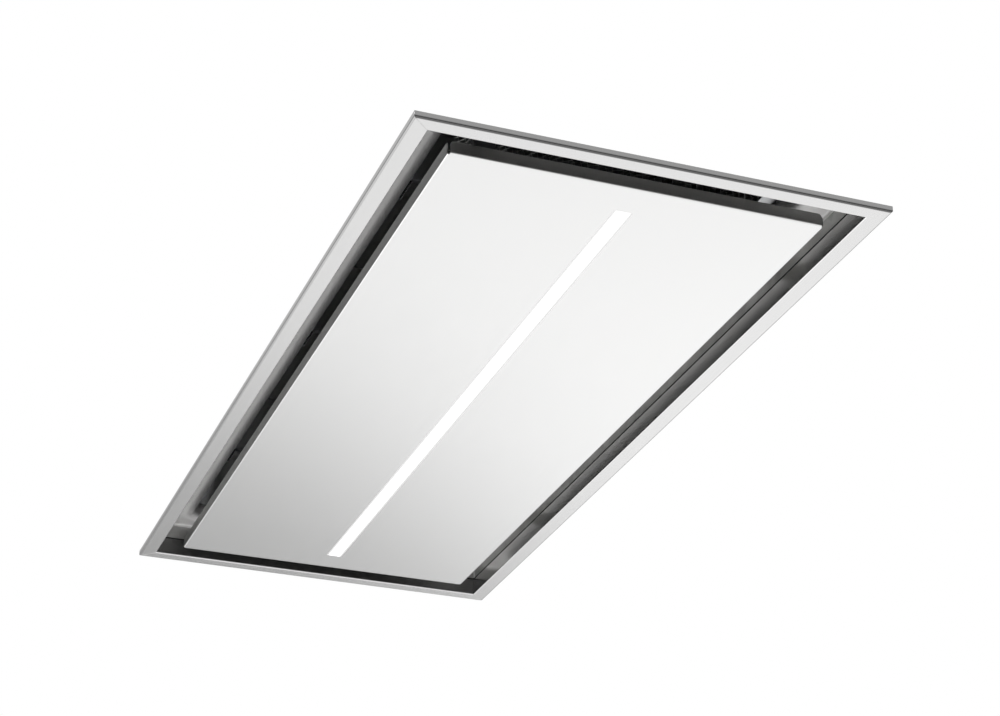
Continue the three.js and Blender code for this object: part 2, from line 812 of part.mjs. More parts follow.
function addPanel() {
  add('suction_panel', suctionPanel(), 'paleSteel', panel);
  const hat = hatSection(stiffenerCrown, stiffenerLean, stiffenerFoot, stiffenerHeight, stiffenerSheet);
  for (const side of [-1, 1]) {
    const name = side < 0 ? 'panel_stiffener_left' : 'panel_stiffener_right';
    const rib = alongY(hat, panelLength - 2 * stiffenerMargin);
    add(name, rib, 'galvanised', panel).position.set(side * stiffenerX, 0, panelSeat);
  }
}

// ---- light line: lens in the slot, channel, strip of diodes ----
function addLight() {
  const wingX = stemX + diffuserWing;
  const wingY = stemY + diffuserWing;
  const stemPlan = outline(roundedLoop(stemX, stemY, lightSlotCorner - gap, 2));
  const stem = alongZ(stemPlan, panelSeat - diffuserStem, panelSeat + diffuserBack / 2);
  const wing = block(-wingX, wingX, -wingY, wingY, panelSeat, panelSeat + diffuserBack);
  add('light_diffuser', join(stem, wing), 'opal', panel);

  const top = panelSeat + channelHeight;
  const footTop = panelSeat + channelWall;
  const halfLength = wingY + gap;
  const section = outline([
    [-channelOutX - channelFoot, panelSeat], [-channelInX, panelSeat],
    [-channelInX, top - channelWall], [channelInX, top - channelWall],
    [channelInX, panelSeat], [channelOutX + channelFoot, panelSeat],
    [channelOutX + channelFoot, footTop], [channelOutX, footTop], [channelOutX, top],
    [-channelOutX, top], [-channelOutX, footTop], [-channelOutX - channelFoot, footTop],
  ]);
  const ends = [-1, 1].map((side) => block(-channelOutX, channelOutX,
    side * halfLength, side * (halfLength + channelWall), panelSeat, top));
  add('light_channel', join(alongY(section, 2 * halfLength), ...ends), 'aluminium', panel);

  const boardTop = top - channelWall - gap;
  const boardLow = boardTop - boardSheet;
  const halfStrip = halfLength - stripMargin;
  const strip = block(-stripWidth / 2, stripWidth / 2, -halfStrip, halfStrip, boardLow, boardTop);
  const half = chipSize / 2;
  const chipCount = Math.floor(2 * (halfLength - chipMargin) / chipPitch);
  const chips = Array.from({ length: chipCount }, (_, i) => {
    const y = (i - (chipCount - 1) / 2) * chipPitch;
    return block(-half, half, y - half, y + half, boardLow - chipHeight, boardLow + boardSheet / 2);
  });
  add('light_strip', join(strip, ...chips), 'circuit', panel);
}

// ---- hinges along the right edge ----
// a plate that ends in a round eye, from its flat end at level z
function eyePlate(z, sheet) {
  const [from, to] = z > hingeHeight ? [180, 360] : [0, 180];
  const width = z > hingeHeight ? -hingeEyeRadius : hingeEyeRadius;
  const shape = outline([
    [width, z], ...arcPoints(0, hingeHeight, hingeEyeRadius, from, to, 8), [-width, z],
  ]);
  shape.holes.push(roundHole(0, hingeHeight, hingePinRadius + gap));
  return alongY(shape, sheet);
}

function addHinges() {
  const footLow = plateSeat - bracketSheet;
  const footEnd = plateX - plateEdge - gap - hingeX;
  const earY = leafWidth / 2 + gap + earPlate / 2;
  const footHalf = earY + earPlate / 2 + bracketWing;
  const headY = earY + (earPlate + pinHead) / 2 + gap;
  for (const side of [-1, 1]) {
    const tag = side < 0 ? 'near' : 'far';
    const hinge = new THREE.Group();
    hinge.position.set(hingeX, side * hingeY, 0);
    group.add(hinge);
    const foot = block(-bracketReach, footEnd, -footHalf, footHalf, footLow, plateSeat);
    const ear = eyePlate(plateSeat - bracketSheet / 2, earPlate);
    const ears = [-1, 1].map((end) => ear.clone().translate(0, end * earY, 0));
    add(`hinge_bracket_${tag}`, join(foot, ...ears), 'zincSteel', hinge);
    const leafHalf = leafWidth / 2 + leafWing;
    const base = block(-leafReach, leafHeel, -leafHalf, leafHalf, panelSeat, panelSeat + bracketSheet);
    const leaf = join(base, eyePlate(panelSeat + bracketSheet / 2, leafWidth));
    add(`hinge_leaf_${tag}`, leaf, 'zincSteel', hinge);
    const head = rod(hingePinRadius + pinHead, pinHead, 12);
    const heads = [-1, 1].map((end) => head.clone().translate(0, end * headY, 0));
    const pin = join(rod(hingePinRadius, 2 * headY, 12), ...heads);
    add(`hinge_pin_${tag}`, pin, 'zincSteel', hinge).position.z = hingeHeight;
  }
}

// ---- magnetic catches at the ends, near the free long edge: X points out to the end wall ----
function addCatches() {
  const strikeTop = panelSheet + strikeHeight;
  const magnetLow = strikeTop + gap;
  const magnetOut = magnetDepth - magnetHeel;
  const footEnd = plateY - plateEdge - gap - catchY;
  const half = catchWidth / 2;
  for (const side of [-1, 1]) {
    const tag = side < 0 ? 'near' : 'far';
    const place = new THREE.Group();
    place.position.set(catchX, side * catchY, 0);
    place.rotation.z = side * Math.PI / 2;
    group.add(place);
    const foot = block(-magnetHeel, footEnd, -half, half, plateSeat - catchSheet, plateSeat);
    const body = alongY(outline([
      [-magnetHeel, magnetLow], [magnetOut, magnetLow], [magnetOut, plateSeat - magnetGusset - bite],
      [magnetOut + magnetGusset, plateSeat - bite], [-magnetHeel, plateSeat - bite],
    ]), magnetWidth);
    add(`catch_magnet_${tag}`, join(foot, body), 'blackPlastic', place);
    const footTop = panelSeat + strikeSheet;
    const strike = alongY(outline([
      [strikeHeel, panelSeat], [-strikeFoot, panelSeat], [-strikeFoot, footTop], [-strikeWeb, footTop],
      [-strikeWeb, strikeTop], [strikeTip, strikeTop], [strikeTip, strikeTop - strikeSheet],
      [-strikeWeb + strikeSheet, strikeTop - strikeSheet], [-strikeWeb + strikeSheet, footTop],
      [strikeHeel, footTop],
    ]), catchWidth);
    add(`strike_plate_${tag}`, strike, 'zincSteel', place);
  }
}

// ---- blower: scroll in two halves, bladed impeller, motor in the near inlet ----
function scrollOutline(offset, rise) {
  const steps = 24;
  const start = THREE.MathUtils.radToDeg(Math.acos((mouthInner - offset) / (tongueRadius + offset)));
  const points = [];
  for (let i = 0; i <= steps; i++) {
    const degrees = start + (360 - start) * i / steps;
    const angle = THREE.MathUtils.degToRad(degrees);
    const radius = scrollRadius(degrees) + offset;
    points.push([radius * Math.cos(angle), radius * Math.sin(angle)]);
  }
  points.push([mouthOuter + offset, rise], [mouthInner - offset, rise]);
  return outline(points);
}

// the far half, from its joint at the middle to the inlet in its side wall
function voluteHalf() {
  const half = voluteHalfWidth;
  const face = half + voluteWall;
  const seam = gap / 2;
  const outside = alongY(scrollOutline(voluteWall, outletRise), face - seam);
  const inside = alongY(scrollOutline(0, outletRise + bite), half + bite);
  const hole = rod(inletRadius, 2 * inletLip, inletFacets).translate(0, half, 0);
  const mouth = turned([
    [inletRadius + inletLip, face - voluteWall / 2], [inletRadius + bite, face - voluteWall / 2],
    [inletRadius, half - inletLip], [inletRadius - voluteWall, half - inletLip],
    [inletRadius - voluteWall, face], [inletRadius + inletFlare, face + inletFlare],
    [inletRadius + inletLip, face + inletFlare],
  ], inletFacets);
  const earTop = topZ - gap - blowerZ;
  const [earFrom, earTo] = [-earOffset - earWidth / 2, -earOffset + earWidth / 2];
  const ear = block(earFrom, earTo, half, face, scrollRadius(90) / 2, earTop);
  const tab = block(earFrom, earTo, half, half + earTab, earTop - earSheet, earTop);
  outside.translate(0, (face + seam) / 2, 0);
  inside.translate(0, (half - bite) / 2, 0);
  return join(cut(outside, inside, hole), mouth, ear, tab);
}

// forward-curved blades between two rings, on a middle disc with a hub
function impeller() {
  const inner = impellerRadius - bladeDepth;
  const steps = 2;
  const front = [];
  const back = [];
  for (let i = 0; i <= steps; i++) {
    const share = i / steps;
    const radius = inner + bladeInset + (bladeDepth - 2 * bladeInset) * share;
    const angle = bladeSweep * share * share; // cupped forward, in the way it turns
    const half = bladeSheet / 2 / radius;
    front.push([radius * Math.cos(angle + half), radius * Math.sin(angle + half)]);
    back.push([radius * Math.cos(angle - half), radius * Math.sin(angle - half)]);
  }
  const blade = toSolid(alongY(outline([...back, ...front.reverse()]), impellerWidth - ringWidth));
  const half = impellerWidth / 2;
  const bore = shaftRadius + shaftFit;
  let solid = toSolid(turned([
    [bore, -discSheet / 2], [impellerRadius, -discSheet / 2], [impellerRadius, discSheet / 2],
    [hubRadius, discSheet / 2], [hubRadius - hubTaper, hubLength], [bore, hubLength],
  ], bladeCount));
  for (const side of [-1, 1]) {
    solid = solid.add(toSolid(turned([
      [inner, side * (half - ringWidth)], [inner, side * half],
      [impellerRadius, side * half], [impellerRadius, side * (half - ringWidth)],
    ], bladeCount)));
  }
  for (let i = 0; i < bladeCount; i++) {
    solid = solid.add(blade.rotate([0, 360 * i / bladeCount, 0]));
  }
  return fromSolid(solid);
}

function addMotor(blower) {
  const front = -motorSetback;
  const back = front - motorLength;
  const seat = bearingWidth + gap;
  const bore = shaftRadius + motorBoreFit;
  const pocket = bearingRadius + gap;
  // one end, from its bore out to the can, each point [radius, depth from the face]
  const bell = [
    [bore, seat], [pocket, seat], [pocket, 0], [bossRadius, 0], [bossRadius, bossRise],
    [motorRadius, bellDepth], [motorRadius, bellDepth + bellRim],
    [motorRadius - canStep, bellDepth + bellRim],
  ];
  const frontBell = bell.map(([r, depth]) => [r, front - depth]);
  const backBell = bell.map(([r, depth]) => [r, back + depth]).reverse();
  add('motor', turned([...frontBell, ...backBell]), 'galvanised', blower);
  const half = bearingWidth / 2;
  for (const [name, y] of [['bearing_front', front - half], ['bearing_rear', back + half]]) {
    const ring = turned([
      [shaftRadius + gap, -half], [bearingRadius, -half], [bearingRadius, half], [shaftRadius + gap, half],
    ], 16);
    add(name, ring, 'zincSteel', blower).position.y = y;
  }
  const shaftEnds = [back - shaftOverhang, hubLength + shaftOverhang];
  const shaft = rod(shaftRadius, shaftEnds[1] - shaftEnds[0]);
  add('motor_shaft', shaft, 'zincSteel', blower).position.y = (shaftEnds[0] + shaftEnds[1]) / 2;
}

// a hoop round the motor on three arms that stand on the near side of the scroll
function motorBracket() {
  const face = -(voluteHalfWidth + voluteWall);
  const hoopFront = face - hoopStandoff;
  const hoopIn = motorRadius + gap;
  const hoop = turned([
    [hoopIn, hoopFront - hoopWidth], [hoopIn + hoopSheet, hoopFront - hoopWidth],
    [hoopIn + hoopSheet, hoopFront], [hoopIn, hoopFront],
  ]);
  const start = hoopIn + hoopSheet / 2;
  const level = hoopFront - hoopWidth / 2 - armSheet;
  const heel = inletRadius + inletLip + armSetback;
  const footTop = face - gap;
  const footLow = footTop - armSheet;
  const shift = foldShift(armLean, footLow - level, armSheet);
  const arm = outline([
    [start, level], [heel - armLean, level], [heel, footLow], [heel + armFoot, footLow],
    [heel + armFoot, footTop], [heel - shift, footTop], [heel - armLean - shift, level + armSheet],
    [start, level + armSheet],
  ]);
  const arms = Array.from({ length: armCount }, (_, i) => {
    const turn = (i + 0.25) * 2 * Math.PI / armCount;
    return alongZ(arm, -armWidth / 2, armWidth / 2).rotateY(turn);
  });
  return join(hoop, ...arms);
}

function addBlower() {
  const blower = new THREE.Group();
  blower.position.set(0, 0, blowerZ);
  group.add(blower);
  add('volute_half_far', voluteHalf(), 'galvanised', blower);
  add('volute_half_near', closedUp(voluteHalf().scale(1, -1, 1)), 'galvanised', blower);
  add('impeller', impeller(), 'blackPlastic', blower);
  addMotor(blower);
  add('motor_bracket', motorBracket(), 'zincSteel', blower);

  const can = turned([
    [0, 0], [capacitorRadius - capacitorChamfer, 0], [capacitorRadius, capacitorChamfer],
    [capacitorRadius, capacitorLength - capacitorChamfer],
    [capacitorRadius - capacitorChamfer, capacitorLength], [0, capacitorLength],
  ]);
  const capacitor = add('motor_capacitor', can, 'greyPlastic');
  capacitor.rotation.x = Math.PI / 2;
  capacitor.position.set(-(scrollRadius(180) + voluteWall + capacitorGap + capacitorRadius),
    -(voluteHalfWidth + capacitorSetback), topZ - gap - capacitorLength);
}

// ---- top sheet, gasket, duct collar with two non-return flaps ----
function mouthHole(play, x = 0) {
  const loop = roundedLoop(mouthHalf + play, voluteHalfWidth + play, mouthCorner, 2);
  return holePath(loop.map(([px, py]) => [px + x, py]));
}

function addTop() {
  const plan = outline(roundedLoop(wallX + bodySheet, wallY + bodySheet, topCorner, 2));
  plan.holes.push(mouthHole(voluteWall + mouthFit, collarX), roundHole(glandX, boxY, glandRadius + gap));
  const centre = roofZ + beadRise - beadRadius;
  const dip = THREE.MathUtils.radToDeg(Math.asin((beadRadius - beadRise - bodySheet / 2) / beadRadius));
  const crown = outline(arcPoints(0, centre, beadRadius, dip, 180 - dip, 6));
  const beads = [-1, 1].map((side) => {
    return alongX(crown, 2 * (wallX - beadMargin)).translate(0, side * (wallY - beadSetback), 0);
  });
  add('body_top', join(alongZ(plan, topZ, roofZ), ...beads), 'galvanised');

  const half = collarHalf - gasketInset;
  const seal = outline(roundedLoop(half, half, collarCorner - gasketInset, 3));
  seal.holes.push(mouthHole(mouthPlay));
  const gasket = add('collar_gasket', alongZ(seal, 0, gasketSheet), 'rubber');
  gasket.position.set(collarX, 0, roofZ + gap);
}

// the scroll's oblong mouth flares into the round spigot
function collarRings(grow) {
  const steps = 5;
  const stages = 3;
  const rings = [];
  for (let i = 0; i <= stages; i++) {
    const ease = THREE.MathUtils.smoothstep(i, 0, stages);
    const halfX = THREE.MathUtils.lerp(mouthHalf, throatRadius, ease) + grow;
    const halfY = THREE.MathUtils.lerp(voluteHalfWidth, throatRadius, ease) + grow;
    const corner = THREE.MathUtils.lerp(2 * mouthCorner, throatRadius, ease) + grow;
    const z = THREE.MathUtils.lerp(flangeZ, spigotZ, i / stages);
    rings.push(roundedLoop(halfX, halfY, Math.min(corner, halfX, halfY), steps).map(([x, y]) => [x, y, z]));
  }
  const round = throatRadius + grow;
  rings.push(roundedLoop(round, round, round, steps).map(([x, y]) => [x, y, spigotZ + spigotHeight]));
  return rings;
}

function ductCollar() {
  const shell = ringLoft([...collarRings(collarWall), ...collarRings(0).reverse()]);
  const plan = outline(roundedLoop(collarHalf, collarHalf, collarCorner, 3));
  plan.holes.push(mouthHole(mouthPlay));
  const flange = alongZ(plan, flangeZ, flangeZ + collarSheet);
  const ledgeTop = flapZ - flapSheet / 2 - gap;
  const ledgeIn = throatRadius - flapLedge;
  const ledge = turned([
    [ledgeIn, ledgeTop - ledgeSheet], [throatRadius + bite, ledgeTop - ledgeSheet - ledgeSlope],
    [throatRadius + bite, ledgeTop], [ledgeIn, ledgeTop],
  ]).rotateX(Math.PI / 2);
  const notchHalf = knuckleRadius + bite;
  const notch = block(-notchHalf, notchHalf, -throatRadius, throatRadius,
    ledgeTop - ledgeSheet - ledgeSlope - bite, ledgeTop + bite);
  const holes = rod(spindleRadius + spindleFit, 2 * (throatRadius + collarWall - spindleCover));
  return cut(join(shell, flange, cut(ledge, notch)), holes.translate(0, 0, flapZ));
}

// half a disc, cut short of the spindle and held to it by two knuckles
function flap(knuckleShift) {
  const edge = throatRadius - flapFit;
  const span = THREE.MathUtils.radToDeg(Math.acos(flapHingeGap / edge));
  const plate = alongZ(outline(arcPoints(0, 0, edge, -span, span, 14)), -flapSheet / 2, flapSheet / 2);
  const half = knuckleLength / 2;
  const bore = spindleRadius + gap;
  const knuckles = [-1, 1].map((end) => {
    const y = end * knuckleSpread + knuckleShift;
    const tube = turned([[bore, -half], [knuckleRadius, -half], [knuckleRadius, half], [bore, half]], 12);
    const web = block(knuckleRadius - bite, flapHingeGap + bite, y - half, y + half,
      -flapSheet / 2, flapSheet / 2);
    return join(tube.translate(0, y, 0), web);
  });
  return join(plate, ...knuckles);
}

function addCollar() {
  add('duct_collar', ductCollar(), 'blackPlastic').position.x = collarX;
  const spindle = rod(spindleRadius, 2 * (throatRadius + collarWall - spindleCover - gap));
  add('flap_spindle', spindle, 'zincSteel').position.set(collarX, 0, flapZ);
  for (const side of [-1, 1]) {
    const name = side < 0 ? 'flap_left' : 'flap_right';
    const leaf = add(name, flap(knuckleSpacing / 2), 'greyPlastic');
    leaf.position.set(collarX, 0, flapZ);
    leaf.rotation.z = side < 0 ? Math.PI : 0;
  }
}

// ---- hangers for four threaded rods ----
function addHangers() {
  const hat = hatSection(hangerCrown, 0, hangerFoot, hangerRise, hangerSheet);
  const slotPlan = outline(roundedLoop(rodSlotWidth / 2, rodSlotLength / 2, rodSlotWidth / 2, 3));
  for (const sx of [-1, 1]) {
    for (const sy of [-1, 1]) {
      const slot = alongZ(slotPlan, hangerRise - hangerSheet - bite, hangerRise + bite);
      const name = `hanger_${sy < 0 ? 'near' : 'far'}_${sx < 0 ? 'left' : 'right'}`;
      const x = sx * (wallX - hangerInset - hangerWidth / 2);
      const y = sy * (wallY - hangerMargin - hangerLength / 2);
      add(name, cut(alongX(hat, hangerWidth), slot), 'zincSteel').position.set(x, y, roofZ + gap);
    }
  }
}

// ---- electronics under the top sheet, near end ----
function boxPlan(inset) {
  return outline(roundedLoop(boxWidth / 2 - inset, boxLength / 2 - inset, boxCorner - inset, 3));
}

function boxLid() {
  const sheet = boxWall - gap;
  const inset = boxWall + gap;
  const lipTop = boxWall + lidLip;
  const lip = carriedRound([
    [0, sheet / 2], [0, lipTop], [lidLipSheet, lipTop], [lidLipSheet, sheet / 2],
  ], boxWidth / 2 - inset, boxLength / 2 - inset, boxCorner - inset, 3);
  return join(alongZ(boxPlan(0), 0, sheet), lip);
}

// the board's components hang down from it
function controlBoard() {
  const left = -boxWidth / 2 + glandRoom;
  const right = boxWidth / 2 - boardMargin;
  const end = boxLength / 2 - boardMargin;
  const root = boardSheet / 2;
  const near = -end + partInset;
  const transformerX = left + partInset;
  const transformer = block(transformerX, transformerX + transformerSize, near, near + transformerSize,
    -transformerHeight, root);
  const relayX = right - partInset;
  const relays = [0, 1].map((i) => {
    const y = near + i * (relayLength + relaySpacing);
    return block(relayX - relayWidth, relayX, y, y + relayLength, -relayHeight, root);
  });
  const smoothing = rod(smoothingRadius, smoothingHeight + root).rotateX(Math.PI / 2).translate(
    transformerX + smoothingRadius, end - partInset - smoothingRadius, (root - smoothingHeight) / 2);
  return join(block(left, right, -end, end, 0, boardSheet), transformer, ...relays, smoothing);
}

function cableGland(seat) {
  const neck = seat + glandNut;
  return turned([
    [glandBore, -glandTail], [glandRadius, -glandTail], [glandRadius, seat],
    [glandRadius + glandCollar, seat], [glandRadius + glandCollar, neck],
    [glandRadius, neck + glandTaper], [glandRadius - glandTaper, neck + glandDome],
    [glandBore, neck + glandDome],
  ], 16);
}

function addElectronics() {
  const boxTop = topZ - gap;
  const boxLow = boxTop - boxDepth;
  const rise = boxDepth - boxWall;
  const hole = rod(glandRadius + gap, 4 * boxWall).rotateX(Math.PI / 2).translate(glandX, 0, rise);
  const tray = cut(alongZ(boxPlan(0), 0, rise), alongZ(boxPlan(boxWall), -bite, rise - boxWall), hole);
  add('electronics_box', tray, 'blackPlastic').position.set(0, boxY, boxLow + boxWall);
  add('electronics_lid', boxLid(), 'greyPlastic').position.set(0, boxY, boxLow);
  add('control_board', controlBoard(), 'circuit').position.set(0, boxY, boxTop - boxWall - boardStandoff);
  const gland = add('cable_gland', cableGland(roofZ - boxTop + gap), 'blackPlastic');
  gland.rotation.x = Math.PI / 2;
  gland.position.set(glandX, boxY, boxTop);
}

addFrame();
addBody();
addFilterPlate();
addFilters();
addPanel();
addLight();
addHinges();
addCatches();
addBlower();
addTop();
addCollar();
addHangers();
addElectronics();

export default group;
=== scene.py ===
import bpy
import bmesh
import json
import math
from mathutils import Matrix, Vector


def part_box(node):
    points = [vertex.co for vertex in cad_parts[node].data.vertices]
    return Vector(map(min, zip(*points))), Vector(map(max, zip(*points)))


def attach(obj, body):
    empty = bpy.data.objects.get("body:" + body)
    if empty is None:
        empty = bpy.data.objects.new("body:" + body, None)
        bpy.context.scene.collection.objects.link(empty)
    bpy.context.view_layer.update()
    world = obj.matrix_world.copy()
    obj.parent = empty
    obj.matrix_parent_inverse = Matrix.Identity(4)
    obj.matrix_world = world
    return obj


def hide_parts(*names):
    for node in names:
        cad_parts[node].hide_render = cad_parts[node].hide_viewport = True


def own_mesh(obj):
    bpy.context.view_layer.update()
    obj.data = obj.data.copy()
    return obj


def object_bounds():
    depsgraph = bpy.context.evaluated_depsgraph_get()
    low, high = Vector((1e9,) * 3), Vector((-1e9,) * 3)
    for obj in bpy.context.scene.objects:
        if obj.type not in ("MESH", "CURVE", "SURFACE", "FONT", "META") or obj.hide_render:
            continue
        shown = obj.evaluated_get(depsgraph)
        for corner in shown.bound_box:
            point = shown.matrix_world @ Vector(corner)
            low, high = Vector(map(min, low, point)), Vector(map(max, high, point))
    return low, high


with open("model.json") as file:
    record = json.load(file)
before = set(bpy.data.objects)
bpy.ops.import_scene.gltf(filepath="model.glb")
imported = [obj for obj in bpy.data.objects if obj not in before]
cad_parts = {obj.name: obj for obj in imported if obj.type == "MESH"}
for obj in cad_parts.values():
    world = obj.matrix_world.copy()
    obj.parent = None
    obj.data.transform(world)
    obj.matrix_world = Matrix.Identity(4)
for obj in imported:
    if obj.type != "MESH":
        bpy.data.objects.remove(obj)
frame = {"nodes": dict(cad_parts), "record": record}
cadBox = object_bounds()
nodes = frame["nodes"]
mm = 0.001


# the photograph's viewpoint, below and to the near left
view = {
    "place": (-0.7835, -2.2893, -1.1168),
    "right": (0.9380, -0.3466, 0.0054),
    "up": (-0.1573, -0.4117, 0.8976),
    "focalPixels": 2254.6,
    "imageWidth": 1000,
}


def makeCamera():
    camera = bpy.data.objects.new("camera", bpy.data.cameras.new("camera"))
    bpy.context.scene.collection.objects.link(camera)
    right = Vector(view["right"]).normalized()
    up = Vector(view["up"])
    back = right.cross(up).normalized()
    up = back.cross(right)
    turn = Matrix((right, up, back)).transposed()
    camera.matrix_world = Matrix.Translation(view["place"]) @ turn.to_4x4()
    camera.data.sensor_width = 36
    camera.data.lens = 36 * view["focalPixels"] / view["imageWidth"]
    camera.data.clip_end = 60
    bpy.context.scene.camera = camera


makeCamera()
print("camera placed")


class Value:  # a shader socket that can be used in sums
    def __init__(self, tree, socket):
        self.tree = tree
        self.socket = socket

    def math(self, operation, first, second=None):
        node = self.tree.nodes.new("ShaderNodeMath")
        node.operation = operation
        for slot, item in zip(node.inputs, (first, second)):
            if isinstance(item, Value):
                self.tree.links.new(item.socket, slot)
            elif item is not None:
                slot.default_value = item
        return Value(self.tree, node.outputs[0])

    def __add__(self, other):
        return self.math("ADD", self, other)

    def __radd__(self, other):
        return self.math("ADD", other, self)

    def __sub__(self, other):
        return self.math("SUBTRACT", self, other)

    def __rsub__(self, other):
        return self.math("SUBTRACT", other, self)

    def __mul__(self, other):
        return self.math("MULTIPLY", self, other)

    def __rmul__(self, other):
        return self.math("MULTIPLY", other, self)

    def __truediv__(self, other):
        return self.math("DIVIDE", self, other)

    def __pow__(self, other):
        return self.math("POWER", self, other)

    def above(self, edge):
        return self.math("GREATER_THAN", self, edge)

    def least(self, other):
        return self.math("MINIMUM", self, other)

    def most(self, other):
        return self.math("MAXIMUM", self, other)

    def size(self):
        return self.math("ABSOLUTE", self)


class Nodes:  # a node tree and the one way to add to it
    def __init__(self, tree):
        self.tree = tree

    def add(self, kind, settings=None, sockets=None):
        node = self.tree.nodes.new(kind)
        for name, value in (settings or {}).items():
            setattr(node, name, value)
        for name, value in (sockets or {}).items():
            self.join(node.inputs[name], value)
        return node

    def join(self, slot, value):
        if isinstance(value, Value):
            self.tree.links.new(value.socket, slot)
        elif isinstance(value, bpy.types.NodeSocket):
            self.tree.links.new(value, slot)
        elif isinstance(value, tuple) and len(value) == 3 and slot.type == "RGBA":
            slot.default_value = (*value, 1)
        else:
            slot.default_value = value

    def value(self, node, output):
        return Value(self.tree, node.outputs[output])

    def coordinates(self, vector):
        split = self.add("ShaderNodeSeparateXYZ", sockets={0: vector})
        return {axis: self.value(split, axis) for axis in "XYZ"}


class Finish(Nodes):  # one material: its nodes and its surface shader
    def __init__(self, name, **constants):
        self.material = bpy.data.materials.new(name)
        self.material.use_nodes = True
        super().__init__(self.material.node_tree)
        self.shader = self.tree.nodes["Principled BSDF"]
        for socket, value in constants.items():
            self.shader.inputs[socket.replace("_", " ")].default_value = value
        self.place = self.add("ShaderNodeTexCoord").outputs["Object"]

    def feed(self, name, value):
        self.join(self.shader.inputs[name], value)

    def stretched(self, scale):
        mapping = self.add("ShaderNodeMapping", sockets={"Vector": self.place, "Scale": scale})
        return mapping.outputs["Vector"]

    def noise(self, scale, detail=3, vector=None, roughness=0.5):
        sockets = {"Vector": vector or self.place, "Scale": scale, "Detail": detail, "Roughness": roughness}
        return self.value(self.add("ShaderNodeTexNoise", sockets=sockets), "Fac")

    def mixed(self, factor, first, second):
        sockets = {0: factor, 6: first, 7: second}
        return self.add("ShaderNodeMix", {"data_type": "RGBA"}, sockets).outputs[2]

    def bump(self, height, strength, distance):
        sockets = {"Height": height, "Strength": strength, "Distance": distance}
        self.feed("Normal", self.add("ShaderNodeBump", sockets=sockets).outputs["Normal"])


# scale of a noise drawn out along one axis
def drawnScale(axis, along, across):
    return tuple(along if letter == axis else across for letter in "XYZ")


def toned(color, share):
    return tuple(c * share for c in color)


# satin sheet: a fine grain drawn along one axis, faint handling marks, painted shade on the folds and a
# painted dark line along the outer fold
satin = {"along": 12, "across": 1500, "foldStart": 0.0006, "foldFade": 0.0005, "foldRough": 0.17,
         "rimMiddle": 0.0007, "rimReach": 0.002125, "rimFade": 0.00125}


def satinSteel(name, color, roughness, along, grain=0.1, marks=0.02, foldShadeTone=1.0, foldShadeEnd=9.0, rim=None):
    made = Finish(name, Metallic=1.0)
    lines = made.noise(1.0, 3, made.stretched(drawnScale(along, satin["along"], satin["across"])), 0.6)
    cloud = made.noise(5.0, 4, roughness=0.6)
    smear = made.noise(38.0, 5, roughness=0.7)
    tone = made.mixed(lines * 0.6 + cloud * 0.4, toned(color, 1 - 2.2 * marks), color)
    rough = roughness + (lines - 0.5) * 0.12 + (cloud - 0.5) * marks * 2 + (smear - 0.5) * marks
    place = made.coordinates(made.place)
    if foldShadeTone < 1:  # painted shade: folded edges and back are painted darker than the face, and made rougher
        shadedFold = ((place["Z"] - satin["foldStart"]) / satin["foldFade"]).most(0.0).least(1.0)
        shadedFold = shadedFold * (foldShadeEnd - place["Y"].size()).above(0.0)
        tone = made.mixed(shadedFold, tone, toned(color, foldShadeTone))
        rough = rough + shadedFold * satin["foldRough"]
    if rim:  # painted shade: a dark line painted along the outer fold
        axis, edge, shadeLineTone = rim
        out = place[axis].size() - (edge - satin["rimMiddle"])
        up = place["Z"] - satin["rimMiddle"]
        line = (satin["rimReach"] - (out * out + up * up) ** 0.5) / satin["rimFade"]
        tone = made.mixed(line.most(0.0).least(1.0), tone, toned(color, shadeLineTone))
    made.feed("Base Color", tone)
    made.feed("Roughness", rough)
    made.bump(lines, grain, 0.0003)
    return made.material


# zinc coat: crystal patches of differing grey, dull, with a few scuffs
def zincCoat(name, color, roughness, patch):
    made = Finish(name, Metallic=1.0)
    warp = made.noise(40.0, 2)
    cells = made.add("ShaderNodeTexVoronoi", {"feature": "F1"}, {"Vector": made.place, "Scale": 1 / patch})
    tint = made.add("ShaderNodeSeparateColor", sockets={"Color": cells.outputs["Color"]})
    crystal = made.value(tint, "Red")
    second = made.value(tint, "Green")
    cloud = made.noise(6.0, 4, roughness=0.6)
    scuff = (made.noise(1.0, 4, made.stretched((6.0, 90.0, 60.0)), 0.7) - 0.62).most(0.0) * 3.0
    made.feed("Base Color", made.mixed(crystal * 0.6 + warp * 0.2 + cloud * 0.2, toned(color, 0.78), color))
    made.feed("Roughness", roughness + (second - 0.5) * 0.18 + (cloud - 0.5) * 0.1 - scuff * 0.3)
    made.bump(crystal * 0.6 + warp * 0.4, 0.05, 0.0003)
    return made.material


# bright plated pressings: nearly even, with a slight yellow cast in patches
def platedSteel(name, color, roughness):
    made = Finish(name, Metallic=1.0)
    cloud = made.noise(22.0, 4, roughness=0.6)
    fine = made.noise(900.0, 3)
    warm = (color[0], color[1] * 0.97, color[2] * 0.9)
    made.feed("Base Color", made.mixed(cloud, color, warm))
    made.feed("Roughness", roughness + (fine - 0.5) * 0.16 + (cloud - 0.5) * 0.12)
    made.bump(fine, 0.06, 0.0002)
    return made.material


def mouldedPlastic(name, color, roughness, grain=700.0):
    made = Finish(name, Metallic=0.0, IOR=1.5)
    fine = made.noise(grain, 2)
    cloud = made.noise(12.0, 4, roughness=0.6)
    dusty = tuple(min(1, c * 1.25 + 0.008) for c in color)
    made.feed("Base Color", made.mixed(cloud, color, dusty))
    made.feed("Roughness", roughness + (cloud - 0.5) * 0.16 + (fine - 0.5) * 0.08)
    made.bump(fine, 0.12, 0.0003)
    return made.material


